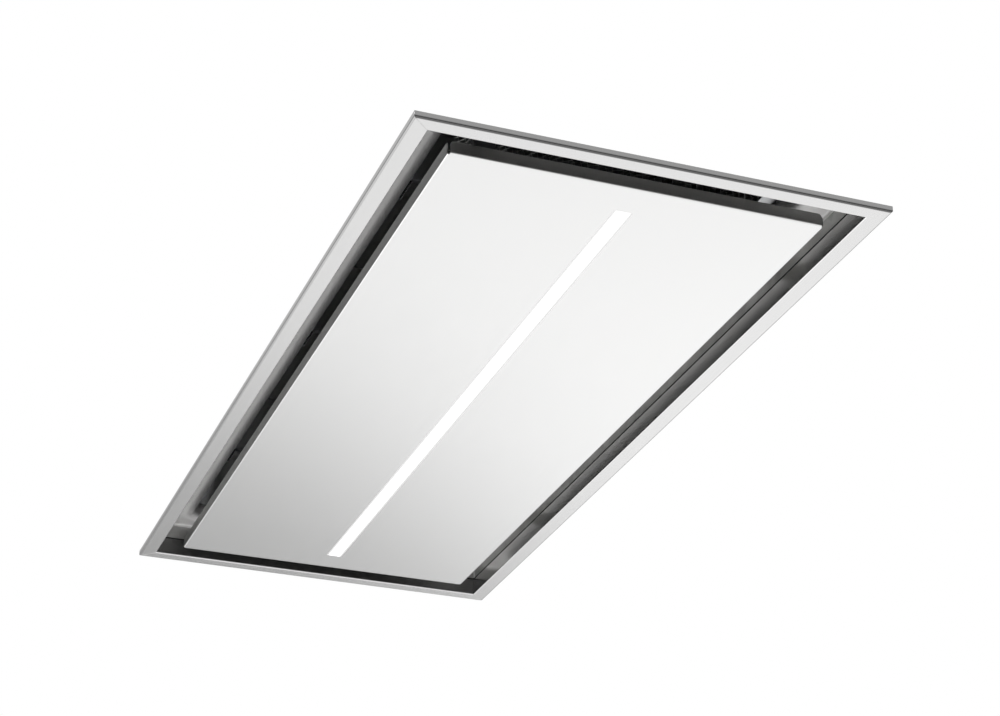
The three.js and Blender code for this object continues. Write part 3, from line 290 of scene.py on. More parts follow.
# a pack of thin sheets pressed together, its edges in fine rows along one axis
def laminations(name, color, along):
    made = Finish(name, Metallic=1.0)
    rows = made.noise(1.0, 1, made.stretched(drawnScale(along, 900, 3)))
    cloud = made.noise(30.0, 3)
    made.feed("Base Color", made.mixed(rows * 0.7 + cloud * 0.3, toned(color, 0.6), color))
    made.feed("Roughness", 0.5 + (cloud - 0.5) * 0.2)
    made.bump(rows, 0.4, 0.0004)
    return made.material


# opal lens lit from behind, dimmer along its sides
lens = {"emission": 1.0, "brightHalf": 0.0072, "fade": 1 / 1200, "sideTone": 0.3}


def litLens(name):
    made = Finish(name, Emission_Strength=lens["emission"])
    soft = made.noise(60.0, 2)
    side = (made.coordinates(made.place)["X"].size() - lens["brightHalf"]) / lens["fade"]
    lit = made.mixed(soft, (1.0, 0.995, 0.985), (1.0, 1.0, 1.0))
    dim = toned((1, 1, 1), lens["sideTone"])
    made.feed("Base Color", (0.93, 0.93, 0.92))
    made.feed("Emission Color", made.mixed(side.most(0.0).least(1.0), lit, dim))
    made.feed("Roughness", 0.42 + (soft - 0.5) * 0.1)
    return made.material


def boardFinish(name, mask, copper):
    made = Finish(name)
    blocks = made.add("ShaderNodeTexVoronoi", {"feature": "F1", "distance": "MANHATTAN"},
                      {"Vector": made.place, "Scale": 260.0, "Randomness": 0.2})
    track = made.value(blocks, "Distance").above(0.62)
    fine = made.noise(500.0, 2)
    made.feed("Base Color", made.mixed(track, mask, copper))
    made.feed("Roughness", 0.36 + track * 0.15 + (fine - 0.5) * 0.1)
    made.bump(track * 0.5 + fine * 0.2, 0.2, 0.0002)
    return made.material


# each finish with the record's slot that it belongs to
steelTone = (0.79, 0.788, 0.785)
halfWidth, halfLength = cadBox[1].x, cadBox[1].y
finishes = {
    # painted shade: the inner lips of the near and far rails painted dark, and a dark line painted along the
    # outer fold of every rail
    "railAcross": (satinSteel("railAcross", steelTone, 0.22, "X", foldShadeTone=0.3, foldShadeEnd=halfLength - 0.01,
                              rim=("Y", halfLength, 0.19)), "satin_steel"),
    "railAlong": (satinSteel("railAlong", steelTone, 0.22, "Y", rim=("X", halfWidth, 0.6)), "satin_steel"),
    # painted shade: the panel's flanges and back painted darker than its face
    "panelSatin": (satinSteel("panelSatin", (0.90, 0.90, 0.895), 0.22, "Y", 0.05, 0.012, foldShadeTone=0.55),
                   "panel_steel"),
    "panSatin": (satinSteel("panSatin", (0.95, 0.945, 0.935), 0.64, "Y", grain=0.6), "satin_steel"),
    "zinc": (zincCoat("zinc", (0.58, 0.58, 0.57), 0.42, 0.012), "galvanised_steel"),
    "plated": (platedSteel("plated", (0.70, 0.71, 0.72), 0.3), "zinc_plate"),
    "cassette": (satinSteel("cassette", (0.66, 0.67, 0.68), 0.32, "Y", 0.08, 0.03), "filter_frame"),
    "weave": (platedSteel("weave", (0.62, 0.63, 0.64), 0.36), "filter_mesh"),
    "extrusion": (satinSteel("extrusion", (0.70, 0.71, 0.72), 0.34, "Y"), "aluminium"),
    "lens": (litLens("lens"), "opal_lens"),
    "board": (boardFinish("board", (0.82, 0.84, 0.80), (0.70, 0.73, 0.68)), "circuit_board"),
    "blackPlastic": (mouldedPlastic("blackPlastic", (0.016, 0.016, 0.018), 0.48), "black_plastic"),
    "greyPlastic": (mouldedPlastic("greyPlastic", (0.20, 0.21, 0.22), 0.5), "grey_plastic"),
    "rubber": (mouldedPlastic("rubber", (0.014, 0.014, 0.014), 0.75, 300.0), "rubber"),
    "stator": (laminations("stator", (0.34, 0.34, 0.35), "Y"), "galvanised_steel"),
}
print("materials made")

# which finish dresses which node
dress = {
    "railAcross": ["frame_rail_near", "frame_rail_far"],
    "railAlong": ["frame_rail_left", "frame_rail_right"],
    "panelSatin": ["suction_panel"],
    "panSatin": ["filter_plate"],
    "zinc": ["body_side_left", "body_side_right", "body_end_near", "body_end_far", "body_top",
             "panel_stiffener_left", "panel_stiffener_right", "volute_half_near", "volute_half_far",
             "motor"],
    "plated": ["hinge_bracket_near", "hinge_bracket_far", "hinge_leaf_near", "hinge_leaf_far",
               "hinge_pin_near", "hinge_pin_far", "strike_plate_near", "strike_plate_far",
               "hanger_near_left", "hanger_near_right", "hanger_far_left", "hanger_far_right",
               "bearing_front", "bearing_rear", "motor_shaft", "motor_bracket", "flap_spindle",
               "latch_spring_1", "latch_spring_2", "latch_spring_3"],
    "cassette": ["filter_frame_1", "filter_frame_2", "filter_frame_3"],
    "weave": ["filter_mesh_1", "filter_mesh_2", "filter_mesh_3"],
    "extrusion": ["light_channel"],
    "lens": ["light_diffuser"],
    "board": ["light_strip", "control_board"],
    "blackPlastic": ["filter_latch_1", "filter_latch_2", "filter_latch_3", "catch_magnet_near",
                     "catch_magnet_far", "impeller", "duct_collar", "electronics_box", "cable_gland"],
    "greyPlastic": ["flap_left", "flap_right", "electronics_lid", "motor_capacitor"],
    "rubber": ["collar_gasket"],
}
finishOf = {node: finish for finish, listed in dress.items() for node in listed}
bodyOf = {node: body for body, listed in frame["record"]["behaviour"]["bodies"].items() for node in listed}


def setFinish(mesh, finish):
    mesh.materials.clear()
    mesh.materials.append(finishes[finish][0])


for nodeName, nodeObject in nodes.items():
    setFinish(nodeObject.data, finishOf[nodeName])
print("nodes dressed")


filterNumbers = (1, 2, 3)

# shapes are (points, faces) in millimetres
quarters = ((1, 1), (-1, 1), (-1, -1), (1, -1))


def arc(centreX, centreY, radius, start, end, steps):
    turns = [math.radians(start + (end - start) * i / steps) for i in range(steps + 1)]
    return [(centreX + radius * math.cos(t), centreY + radius * math.sin(t)) for t in turns]


def roundedLoop(halfX, halfY, radius, steps):
    points = []
    for corner, (sx, sy) in enumerate(quarters):
        start = corner * 90
        points += arc(sx * (halfX - radius), sy * (halfY - radius), radius, start, start + 90, steps)
    return points


def skinned(rings, closed=True):
    count = len(rings[0])
    faces = []
    for r in range(len(rings) if closed else len(rings) - 1):
        a, b = r * count, (r + 1) % len(rings) * count
        faces += [(a + i, a + (i + 1) % count, b + (i + 1) % count, b + i) for i in range(count)]
    if not closed:
        faces += [tuple(range(count)), tuple(range((len(rings) - 1) * count, len(rings) * count))]
    return [p for ring in rings for p in ring], faces


def onAxis(axis, along, a, b):
    return {"X": (along, a, b), "Y": (a, along, b), "Z": (a, b, along)}[axis]


def oblong(a0, a1, b0, b1):
    return [(a0, b0), (a1, b0), (a1, b1), (a0, b1)]


def bothWays(profile):  # a profile's upper half, and the lower half after it
    return profile + [(r, -h) for r, h in reversed(profile)]


def around(count):  # angles of a full turn
    return [2 * math.pi * i / count for i in range(count)]


# a closed profile of (radius, height) turned round an axis
def spun(profile, axis="Z", segments=48):
    return skinned([[onAxis(axis, h, r * math.cos(t), r * math.sin(t)) for r, h in profile]
                    for t in around(segments)])


# an outline drawn square to an axis and drawn out along it
def drawnOut(outline, axis, start, end):
    return skinned([[onAxis(axis, h, a, b) for a, b in outline] for h in (start, end)], closed=False)


def moved(shape, x, y, z):
    points, faces = shape
    return [(px + x, py + y, pz + z) for px, py, pz in points], faces


def turnedTo(shape, direction):  # its +Z to another direction
    turn = Vector((0, 0, 1)).rotation_difference(Vector(direction)).to_matrix()
    points, faces = shape
    return [tuple(turn @ Vector(p)) for p in points], faces


def together(shapes):
    points, faces = [], []
    for nextPoints, nextFaces in shapes:
        faces += [tuple(i + len(points) for i in face) for face in nextFaces]
        points += nextPoints
    return points, faces


def meshOf(name, shape):
    points, faces = shape
    mesh = bpy.data.meshes.new(name)
    mesh.from_pydata([tuple(c * mm for c in p) for p in points], [], faces)
    work = bmesh.new()
    work.from_mesh(mesh)
    bmesh.ops.remove_doubles(work, verts=work.verts, dist=1e-6)
    bmesh.ops.dissolve_degenerate(work, edges=work.edges, dist=1e-7)
    bmesh.ops.recalc_face_normals(work, faces=work.faces)
    work.to_mesh(mesh)
    work.free()
    return mesh


# a mesh with other shapes cut away
def carved(mesh, shapes):
    scene = bpy.context.scene.collection
    whole = bpy.data.objects.new("whole", mesh)
    scene.objects.link(whole)
    cutters = []
    for shape in shapes:
        cutter = bpy.data.objects.new("cutter", meshOf("cutter", shape))
        scene.objects.link(cutter)
        cutters.append(cutter)
        cut = whole.modifiers.new("cut", "BOOLEAN")
        cut.operation = "DIFFERENCE"
        cut.solver = "EXACT"
        cut.object = cutter
    bpy.context.view_layer.update()
    result = bpy.data.meshes.new_from_object(whole.evaluated_get(bpy.context.evaluated_depsgraph_get()))
    for used in [whole, *cutters]:
        bpy.data.objects.remove(used)
    return result


def box(x0, x1, y0, y1, z0, z1):
    return drawnOut(oblong(x0, x1, y0, y1), "Z", z0, z1)


def corners(nodeName):  # lowest and highest corner of a node, in millimetres
    low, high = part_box(nodeName)
    return Vector(low) / mm, Vector(high) / mm


def middle(nodeName):
    low, high = corners(nodeName)
    return (low + high) / 2


def halfSize(nodeName):
    low, high = corners(nodeName)
    return (high - low) / 2


def evenly(start, end, count):
    return [start + (end - start) * i / (count - 1) for i in range(count)]


def addPiece(name, mesh, finish, bodyName, replaced=()):
    piece = bpy.data.objects.new(name, mesh)
    bpy.context.scene.collection.objects.link(piece)
    setFinish(mesh, finish)
    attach(piece, bodyName)
    if replaced:
        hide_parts(*replaced)
    return piece


# a piece that stands for the node
def skin(nodeName, mesh, suffix="_skin"):
    return addPiece(nodeName + suffix, mesh, finishOf[nodeName], bodyOf[nodeName], (nodeName,))


# several meshes as one, each left as it is
def gathered(name, meshes):
    whole = bmesh.new()
    for mesh in meshes:
        whole.from_mesh(mesh)
    mesh = bpy.data.meshes.new(name)
    whole.to_mesh(mesh)
    whole.free()
    return mesh


# curves shaded smooth, cut edges broken, flats kept flat
def soften(piece, edge=0.0, segments=2, angle=32):
    piece.data.shade_smooth()
    piece.data.set_sharp_from_angle(angle=math.radians(angle))
    if edge:
        bevel = piece.modifiers.new("edge", "BEVEL")
        bevel.width = edge * mm
        bevel.segments = segments
        bevel.limit_method = "ANGLE"
        bevel.angle_limit = math.radians(angle)
    flats = piece.modifiers.new("flats", "WEIGHTED_NORMAL")
    flats.keep_sharp = True
    return piece


# the node's own shape, softened
def refined(nodeName, edge, segments=2, angle=32):
    mesh = nodes[nodeName].data.copy()
    work = bmesh.new()
    work.from_mesh(mesh)
    bmesh.ops.remove_doubles(work, verts=work.verts, dist=1e-6)
    bmesh.ops.dissolve_limit(work, angle_limit=math.radians(0.5), verts=work.verts, edges=work.edges)
    work.to_mesh(mesh)
    work.free()
    soften(skin(nodeName, mesh), edge, segments, angle)


# a finer shape that stands for the node
def remade(nodeName, shape, edge=0.0, cuts=(), angle=32):
    mesh = meshOf(nodeName, shape)
    if cuts:
        mesh = carved(mesh, cuts)
    return soften(skin(nodeName, mesh), edge, angle=angle)


# added small parts that ride with a node
def fitted(name, shape, finish, nodeName, edge=0.0):
    soften(addPiece(name, meshOf(name, shape), finish, bodyOf[nodeName]), edge)


# folded rails with mitred ends
rail = {"sheet": 1.2, "bend": 2.0, "outerLip": 7.0, "bendSteps": 8, "seam": 0.12, "edge": 0.2}


def railShape(length, x, y, turn):
    low, high = corners("frame_rail_near")
    border, innerLip = high.y - low.y, high.z
    sheet, bend, steps = rail["sheet"], rail["bend"], rail["bendSteps"]
    section = [(0, rail["outerLip"]), *arc(bend, bend, bend, 180, 270, steps)]
    section += arc(border - bend, bend, bend, 270, 360, steps)
    section += [(border, innerLip), (border - sheet, innerLip)]
    section += [*arc(border - bend, bend, bend - sheet, 360, 270, steps)]
    section += [*arc(bend, bend, bend - sheet, 270, 180, steps), (sheet, rail["outerLip"])]
    half = length / 2 - rail["seam"]
    c, s = math.cos(turn), math.sin(turn)
    rings = []
    for side in (-1, 1):
        ring = [(side * (half - inset), inset, z) for inset, z in section]
        rings.append([(x + c * px - s * py, y + s * px + c * py, z) for px, py, z in ring])
    return skinned(rings, closed=False)


def makeFrame():
    x, y = halfWidth / mm, halfLength / mm
    remade("frame_rail_near", railShape(2 * x, 0, -y, 0), rail["edge"])
    remade("frame_rail_far", railShape(2 * x, 0, y, math.pi), rail["edge"])
    remade("frame_rail_left", railShape(2 * y, -x, 0, -math.pi / 2), rail["edge"])
    remade("frame_rail_right", railShape(2 * y, x, 0, math.pi / 2), rail["edge"])


# the pan above the slots: turned-down edge, flat, bullnose round the filters
pan = {"under": 46.0, "sheet": 1.0, "bend": 3.0, "rim": 15.0, "openX": 188.0, "openY": 553.0,
       "corner": 12.0, "cornerSteps": 10, "bendSteps": 6, "rimSteps": 12, "play": 1.0, "hookWidth": 24.0,
       "hookSpread": 0.6, "hookRise": 2.95, "hookSheet": 1.5, "boltSheet": 2.0, "edge": 0.15}


def panShape():
    sheet, bend, under = pan["sheet"], pan["bend"], pan["under"]
    low, high = corners("filter_plate")
    rings = []

    def edgeRing(inset, z):
        corner = max(bend + sheet - inset, 0.2)
        loop = roundedLoop(high.x - inset, high.y - inset, corner, pan["cornerSteps"])
        rings.append([(x, y, z) for x, y in loop])

    def rimRing(out, z):
        corner = pan["corner"] + out
        loop = roundedLoop(pan["openX"] + out, pan["openY"] + out, corner, pan["cornerSteps"])
        rings.append([(x, y, z) for x, y in loop])

    edgeRing(sheet, low.z)
    for inset, z in arc(sheet + bend, under - bend, bend, 180, 90, pan["bendSteps"]):
        edgeRing(inset, z)
    for out, z in arc(pan["rim"], under + pan["rim"], pan["rim"], 270, 180, pan["rimSteps"]):
        rimRing(out, z)
    rimRing(0, high.z)
    rimRing(sheet, high.z)
    for out, z in arc(pan["rim"], under + pan["rim"], pan["rim"] - sheet, 180, 270, pan["rimSteps"]):
        rimRing(out, z)
    for inset, z in arc(sheet + bend, under - bend, bend + sheet, 90, 180, pan["bendSteps"]):
        edgeRing(inset, z)
    edgeRing(0, low.z)
    return skinned(rings)


# the pan, with slots in its rim for the bolts and the hooks of the filters
def makePan():
    play, inner, outer = pan["play"], pan["openX"], pan["openX"] + pan["rim"]
    cuts = []
    for i in filterNumbers:
        cassette, size = middle(f"filter_frame_{i}"), halfSize(f"filter_frame_{i}")
        low, high = corners(f"filter_latch_{i}")
        top = high.z + play
        bottom = top - pan["boltSheet"] - 2 * play
        cuts.append(box(-outer, play - inner, low.y - play, high.y + play, bottom, top))
        z = corners(f"filter_mesh_{i}")[0].z + pan["hookRise"]
        half = pan["hookWidth"] / 2 + play
        for side in (-1, 1):
            y = cassette.y + side * pan["hookSpread"] * size.y
            cuts.append(box(inner - play, outer, y - half, y + half, z - play, z + pan["hookSheet"] + play))
    remade("filter_plate", panShape(), pan["edge"], cuts)


# dark sealing strip on the frame's inner lip
seal = {"height": 1.7, "width": 1.15, "grip": 0.15, "lift": 0.02}


def makeSeal():
    innerLip = corners("frame_rail_near")[1].z
    x, y = corners("frame_rail_left")[1].x, corners("frame_rail_near")[1].y
    inner, outer, low, high = seal["grip"], -seal["width"], seal["lift"], seal["height"]
    rings = []
    for inset, z in ((inner, low), (inner, high), (outer, high), (outer, low)):
        rings.append([(sx * (-x - inset), sy * (-y - inset), innerLip + z) for sx, sy in quarters])
    fitted("frame_seal", skinned(rings), "rubber", "filter_plate")


makeFrame()
makeSeal()
makePan()
refined("suction_panel", 0.15)
print("frame, pan and panel made")


# small fasteners, standing on z = 0
def hexagon(levels):  # (height, radius) of each
    rings = [[(r * math.cos(t), r * math.sin(t), z) for t in around(6)] for z, r in levels]
    return skinned(rings, closed=False)


def hexScrew(radius=3.3, washer=4.6, height=3.4):
    rim = [(0, 0), (washer, 0), (washer, 0.4), (washer - 0.5, 0.9), (0, 0.9)]
    head = hexagon([(0.5, radius), (height - 0.5, radius), (height, radius - 0.6)])
    return together([spun(rim, "Z", 24), head])


def blindRivet(radius=3.2, height=1.1):
    dome = [(radius * math.cos(math.radians(a)), 0.2 + (height - 0.2) * math.sin(math.radians(a)))
            for a in (0, 20, 40, 58)]
    pit = 0.38 * radius
    return spun([(0, 0), (radius, 0), *dome, (pit, height), (pit, height - 0.5), (0, height - 0.5)], "Z", 20)


def panScrew(radius=3.4, height=2.2, arm=0.55, steps=8, segments=32):
    rings = [[(radius * math.cos(t), radius * math.sin(t), 0) for t in around(segments)]]
    for k in range(steps + 1):
        share = 1 - k / (steps + 0.5)
        ring = []
        for t in around(segments):
            x, y = radius * share * math.cos(t), radius * share * math.sin(t)
            sunk = min(abs(x), abs(y)) < arm and max(abs(x), abs(y)) < 0.62 * radius
            ring.append((x, y, height * (0.35 + 0.65 * math.sqrt(1 - share ** 2)) - (1.1 if sunk else 0)))
        rings.append(ring)
    return skinned(rings, closed=False)


def fasten(name, shape, places, nodeName, edge=0.0, direction=(0, 0, 1)):
    turnedShape = turnedTo(shape, direction)
    fitted(name, together([moved(turnedShape, *place) for place in places]), "plated", nodeName, edge)


# grease filters: the cassettes, expanded metal in pleats, sprung bolts
weave = {"stepX": 4.0, "stepY": 7.0, "strand": 1.0, "pitch": 28.0, "run": 7.0, "flatEnd": 14.7, "wall": 1.2}


def pleatPath(low, high):
    half = high.x
    pleats = int(2 * (half - weave["flatEnd"]) / weave["pitch"])
    bottom, top = low.z + weave["wall"] / 2, high.z - weave["wall"] / 2
    path = [(low.x, bottom)]
    for i in range(pleats):
        x = (i - pleats / 2) * weave["pitch"]
        path += [(x, bottom), (x + weave["run"], top), (x + weave["pitch"] - weave["run"], top)]
    return path + [(pleats / 2 * weave["pitch"], bottom), (half, bottom)]


def alongPath(path, distance):
    for (x0, z0), (x1, z1) in zip(path, path[1:]):
        run = math.hypot(x1 - x0, z1 - z0)
        if distance <= run:
            return x0 + (x1 - x0) * distance / run, z0 + (z1 - z0) * distance / run
        distance -= run
    return path[-1]


def makeFilterMesh(i):
    nodeName = f"filter_mesh_{i}"
    low, high = corners(nodeName)
    path = pleatPath(low, high)
    length = sum(math.hypot(x1 - x0, z1 - z0) for (x0, z0), (x1, z1) in zip(path, path[1:]))
    across = 2 * round(length / weave["stepX"] / 2)
    down = 2 * round((high.y - low.y) / weave["stepY"] / 2)
    points, faces, index = [], [], {}
    for a in range(across + 1):
        x, z = alongPath(path, length * a / across)
        for b in range(down + 1):
            if (a + b) % 2 == 0:
                index[a, b] = len(points)
                points.append((x, low.y + (high.y - low.y) * b / down, z))
    for a in range(1, across):
        for b in range(1, down):
            if (a + b) % 2:
                faces.append((index[a - 1, b], index[a, b - 1], index[a + 1, b], index[a, b + 1]))
    mesh = meshOf(nodeName, (points, faces))
    strands = skin(nodeName, mesh, "_net").modifiers.new("strands", "WIREFRAME")
    strands.thickness = weave["strand"] * mm
    strands.use_boundary = True
    strands.use_even_offset = False
    strands.use_replace = True


spring = {"turns": 5.5, "wire": 0.4, "steps": 18, "sides": 8, "keep": 0.57}


def makeSpring(i):
    low, high = corners(f"latch_spring_{i}")
    axis, wire = (low + high) / 2, spring["wire"]
    radius = (high.z - low.z) / 2 - wire
    count = int(spring["turns"] * spring["steps"])
    rings = []
    for k in range(count + 1):
        share = k / count
        turn = 2 * math.pi * spring["turns"] * share
        x = low.x + wire + (high.x - low.x - 2 * wire) * share
        out = Vector((0, math.cos(turn), math.sin(turn)))
        rings.append([tuple(Vector((x, axis.y, axis.z)) + out * (radius + wire * math.cos(a))
                            + Vector((1, 0, 0)) * wire * math.sin(a))
                      for a in around(spring["sides"])])
    piece = remade(f"latch_spring_{i}", skinned(rings, closed=False))
    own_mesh(piece)


for i in filterNumbers:
    refined(f"filter_frame_{i}", 0.2)
    makeFilterMesh(i)
    refined(f"filter_latch_{i}", 0.4, 3)
    makeSpring(i)
print("filters made")

# what the panel carries
for side in ("left", "right"):
    refined(f"panel_stiffener_{side}", 0.15)
refined("light_channel", 0.15)
refined("light_diffuser", 0.1)
refined("light_strip", 0.1)
for end in ("near", "far"):
    refined(f"hinge_leaf_{end}", 0.25)
    refined(f"hinge_bracket_{end}", 0.25)
    refined(f"strike_plate_{end}", 0.2)
    refined(f"catch_magnet_{end}", 0.5, 3)


hinge = {"pinRadius": 2.5, "dome": 1.5, "leafTop": 3.9, "insetLow": 5.0, "inset": 4.5, "rivet": 2.6,
         "rivetHeight": 1.0}


def makeHinge(end):
    size = halfSize(f"hinge_pin_{end}")
    head, half, dome = size.z, size.y, hinge["dome"]
    crown = [(head - dome + 0.1 + x * 0.9, y) for x, y in reversed(arc(0, half - dome, dome, 30, 90, 4))]
    profile = [(0, half), (head - dome + 0.4, half), *crown, (head, half - dome)]
    profile.append((hinge["pinRadius"], half - dome))
    remade(f"hinge_pin_{end}", moved(spun(bothWays(profile), "Y", 32), *middle(f"hinge_pin_{end}")))
    low, high = corners(f"hinge_leaf_{end}")
    places = [(x, y, hinge["leafTop"]) for x in (low.x + hinge["insetLow"], high.x - hinge["inset"])
              for y in (low.y + hinge["inset"], high.y - hinge["inset"])]
    rivet = blindRivet(hinge["rivet"], hinge["rivetHeight"])
    fasten(f"hinge_leaf_rivets_{end}", rivet, places, f"hinge_leaf_{end}")


for end in ("near", "far"):
    makeHinge(end)
print("panel fittings made")

# body: folded sheets, rivets at its corners, screws and bolts through the top
body = {"sheet": 1.0, "flange": 15.0, "rivetRows": 5, "rivetLow": 60.0, "rivetTop": 20.0, "roofSink": 0.3,
        "screwsAlong": 8, "screwEnd": 24.0, "screwsAcross": 3, "screwReach": 150.0, "earX": -55.0,
        "earY": 78.0, "boxBoltX": 80.0, "boxBoltY": 60.0}
for nodeName in ("body_side_left", "body_side_right", "body_end_near", "body_end_far"):
    refined(nodeName, 0.3)
refined("body_top", 0.3, 2, 40)


def makeBodyFasteners():
    halfX, halfY, wallTop = corners("body_side_right")[1]
    roof = corners("hanger_near_left")[0].z - body["roofSink"]
    inset = body["flange"] / 2
    signs = (-1, 1)
    rows = evenly(body["rivetLow"], wallTop - body["rivetTop"], body["rivetRows"])
    for side, sign in (("left", -1), ("right", 1)):
        places = [(sign * halfX, y, z) for y in (-halfY + inset, halfY - inset) for z in rows]
        fasten(f"corner_rivets_{side}", blindRivet(), places, f"body_side_{side}", direction=(sign, 0, 0))

    def throughTop(name, screw, places, edge):
        fasten(name, screw, [(x, y, roof) for x, y in places], "body_top", edge)

    along = evenly(-halfY + body["screwEnd"], halfY - body["screwEnd"], body["screwsAlong"])
    across = evenly(-body["screwReach"], body["screwReach"], body["screwsAcross"])
    edgeX, edgeY = halfX - body["sheet"] - inset, halfY - body["sheet"] - inset
    places = [(sign * edgeX, y) for sign in signs for y in along]
    places += [(x, sign * edgeY) for sign in signs for x in across]
    throughTop("top_sheet_screws", hexScrew(), places, 0.1)
    boxPlace = middle("electronics_box")
    places = [(body["earX"], sign * body["earY"]) for sign in signs]  # the scroll's ears hang here
    places += [(sx * body["boxBoltX"], boxPlace.y + sy * body["boxBoltY"]) for sx in signs for sy in signs]
    throughTop("top_sheet_bolts", hexScrew(4.4, 6.2, 4.6), places, 0.12)
    can = middle("motor_capacitor")
    throughTop("capacitor_nut", hexScrew(6.0, 8.0, 5.5), [(can.x, can.y)], 0.15)


makeBodyFasteners()

hanger = {"sheet": 2.5, "footMiddle": 37.0, "screwSpread": 11.0}
for end in ("near", "far"):
    for side in ("left", "right"):
        nodeName = f"hanger_{end}_{side}"
        refined(nodeName, 0.4, 3)
        place, foot = middle(nodeName), corners(nodeName)[0].z + hanger["sheet"]
        spread, reach = hanger["screwSpread"], hanger["footMiddle"]
        places = [(place.x + sx * spread, place.y + sy * reach, foot) for sx in (-1, 1) for sy in (-1, 1)]
        fasten(f"{nodeName}_screws", hexScrew(), places, nodeName, 0.1)
print("body made")

# duct collar: square flange, oblong mouth flared to a round spigot, ledge for the flaps
collar = {"wall": 2.5, "flare": 25.0, "flange": 3.0, "corner": 10.0, "mouthCorner": 2.0, "mouthHalfY": 70.0,
          "scrollWall": 1.5, "play": 1.0, "radius": 75.0, "ledge": 5.0, "ledgeSheet": 1.5, "ledgeSlope": 2.5,
          "ledgeBite": 1.0, "ridges": (31.0, 33.0, 54.0), "ridge": 0.7, "screwInset": 10.0, "steps": 16,
          "stages": 10, "spindleBore": 2.25, "knuckle": 4.0, "edge": 0.25}
throat = collar["radius"] - collar["wall"]


def collarMouth():  # half its width across the blower
    return corners("volute_half_far")[1].x - collar["scrollWall"] - middle("duct_collar").x


def collarShell():
    low, high = corners("duct_collar")
    centre, mouthHalfX, wall = middle("duct_collar"), collarMouth(), collar["wall"]

    def ring(grow, rise, share):
        ease = share * share * (3 - 2 * share)
        halfX = mouthHalfX + (throat - mouthHalfX) * ease + grow
        halfY = collar["mouthHalfY"] + (throat - collar["mouthHalfY"]) * ease + grow
        corner = 2 * collar["mouthCorner"] + (throat - 2 * collar["mouthCorner"]) * ease + grow
        loop = roundedLoop(halfX, halfY, min(corner, halfX, halfY), collar["steps"])
        return [(x + centre.x, y + centre.y, low.z + rise) for x, y in loop]

    rises = evenly(0, 1, collar["stages"] + 1)
    top = high.z - low.z
    outside = [ring(wall, collar["flare"] * t, t) for t in rises]
    for level in collar["ridges"]:
        crest = wall + collar["ridge"]
        for grow, step in ((wall, -0.8), (crest, -0.3), (crest, 0.3), (wall, 0.8)):
            outside.append(ring(grow, level + step, 1))
    outside += [ring(wall, top - 0.8, 1), ring(wall - 0.8, top, 1)]
    inside = [ring(0.5, top, 1), ring(0, top - 0.6, 1)]
    inside += [ring(0, collar["flare"] * t, t) for t in reversed(rises)]
    return skinned(outside + inside)


def collarFlange():
    low, high = corners("duct_collar")
    centre, play, lift = middle("duct_collar"), collar["play"], collar["flange"]
    half, steps = high.x - centre.x, collar["steps"]
    outer = roundedLoop(half, half, collar["corner"], steps)
    hole = roundedLoop(collarMouth() + play, collar["mouthHalfY"] + play, collar["mouthCorner"], steps)
    levels = ((outer, 0), (outer, lift), (hole, lift), (hole, 0))
    rings = [[(x, y, z) for x, y in loop] for loop, z in levels]
    return moved(skinned(rings), centre.x, centre.y, low.z)


def collarLedge():  # ring that the flaps close on, notched for their knuckles
    centre, spindle = middle("duct_collar"), middle("flap_spindle").z
    top = spindle - flap["sheet"] / 2 - flap["rest"]
    inside, low, bite = throat - collar["ledge"], top - collar["ledgeSheet"], throat + collar["ledgeBite"]
    profile = [(inside, low), (bite, low - collar["ledgeSlope"]), (bite, top), (inside, top)]
    ring = moved(spun(profile, "Z", 4 * collar["steps"]), centre.x, centre.y, 0)
    half = collar["knuckle"] + 1
    notch = box(centre.x - half, centre.x + half, -throat, throat, low - 4, top + 1)
    return carved(meshOf("ledge", ring), [notch])


def makeCollar():
    low, high = corners("duct_collar")
    centre = middle("duct_collar")
    bore, reach = collar["spindleBore"], throat + 1.5
    spindleBore = spun(oblong(0, bore, -reach, reach), "Y", 24)
    spindleBore = moved(spindleBore, centre.x, 0, middle("flap_spindle").z)
    shell = carved(meshOf("shell", collarShell()), [spindleBore])
    mesh = gathered("duct_collar", [shell, collarLedge(), meshOf("flange", collarFlange())])
    soften(skin("duct_collar", mesh), collar["edge"], 2, 40)
    screwOut = high.x - centre.x - collar["screwInset"]
    places = [(centre.x + sx * screwOut, centre.y + sy * screwOut, low.z + collar["flange"])
              for sx in (-1, 0, 1) for sy in (-1, 0, 1) if sx or sy]
    fasten("collar_screws", panScrew(), places, "duct_collar")


flap = {"sheet": 1.5, "rest": 0.3, "fit": 1.5, "chord": 6.0, "knuckle": 4.0, "knuckleLength": 12.0,
        "spread": 45.0, "shift": 7.0, "bore": 2.3, "steps": 40, "rib": 1.0, "ribWidth": 1.6,
        "ribMargin": 8.0, "edge": 0.2}


def makeFlap(side, sign):
    centre, spindle = middle("duct_collar"), middle("flap_spindle").z
    edge, half = throat - flap["fit"], flap["sheet"] / 2
    span = math.degrees(math.acos(flap["chord"] / edge))
    shapes = [drawnOut(arc(0, 0, edge, -span, span, flap["steps"]), "Z", -half, half)]
    chord, bore, knuckle, ribHalf = flap["chord"] + 1, flap["bore"], flap["knuckle"], flap["ribWidth"] / 2
    for y in (-flap["spread"] + flap["shift"], flap["shift"] / 2, flap["spread"] + flap["shift"]):
        reach = math.sqrt(edge ** 2 - y ** 2) - flap["ribMargin"]
        shapes.append(box(chord, reach, y - ribHalf, y + ribHalf, 0, half + flap["rib"]))
    run = flap["knuckleLength"] / 2
    tube = spun(oblong(bore, knuckle, -run, run), "Y")
    for end in (-1, 1):
        y = end * flap["spread"] + flap["shift"]
        shapes += [moved(tube, 0, y, 0), box(knuckle - 1, chord, y - run, y + run, -half, half)]
    points, faces = together(shapes)
    shape = [(centre.x + sign * x, sign * y, spindle + z) for x, y, z in points], faces
    remade(f"flap_{side}", shape, flap["edge"])


makeCollar()
makeFlap("left", -1)
makeFlap("right", 1)
refined("collar_gasket", 0.3)


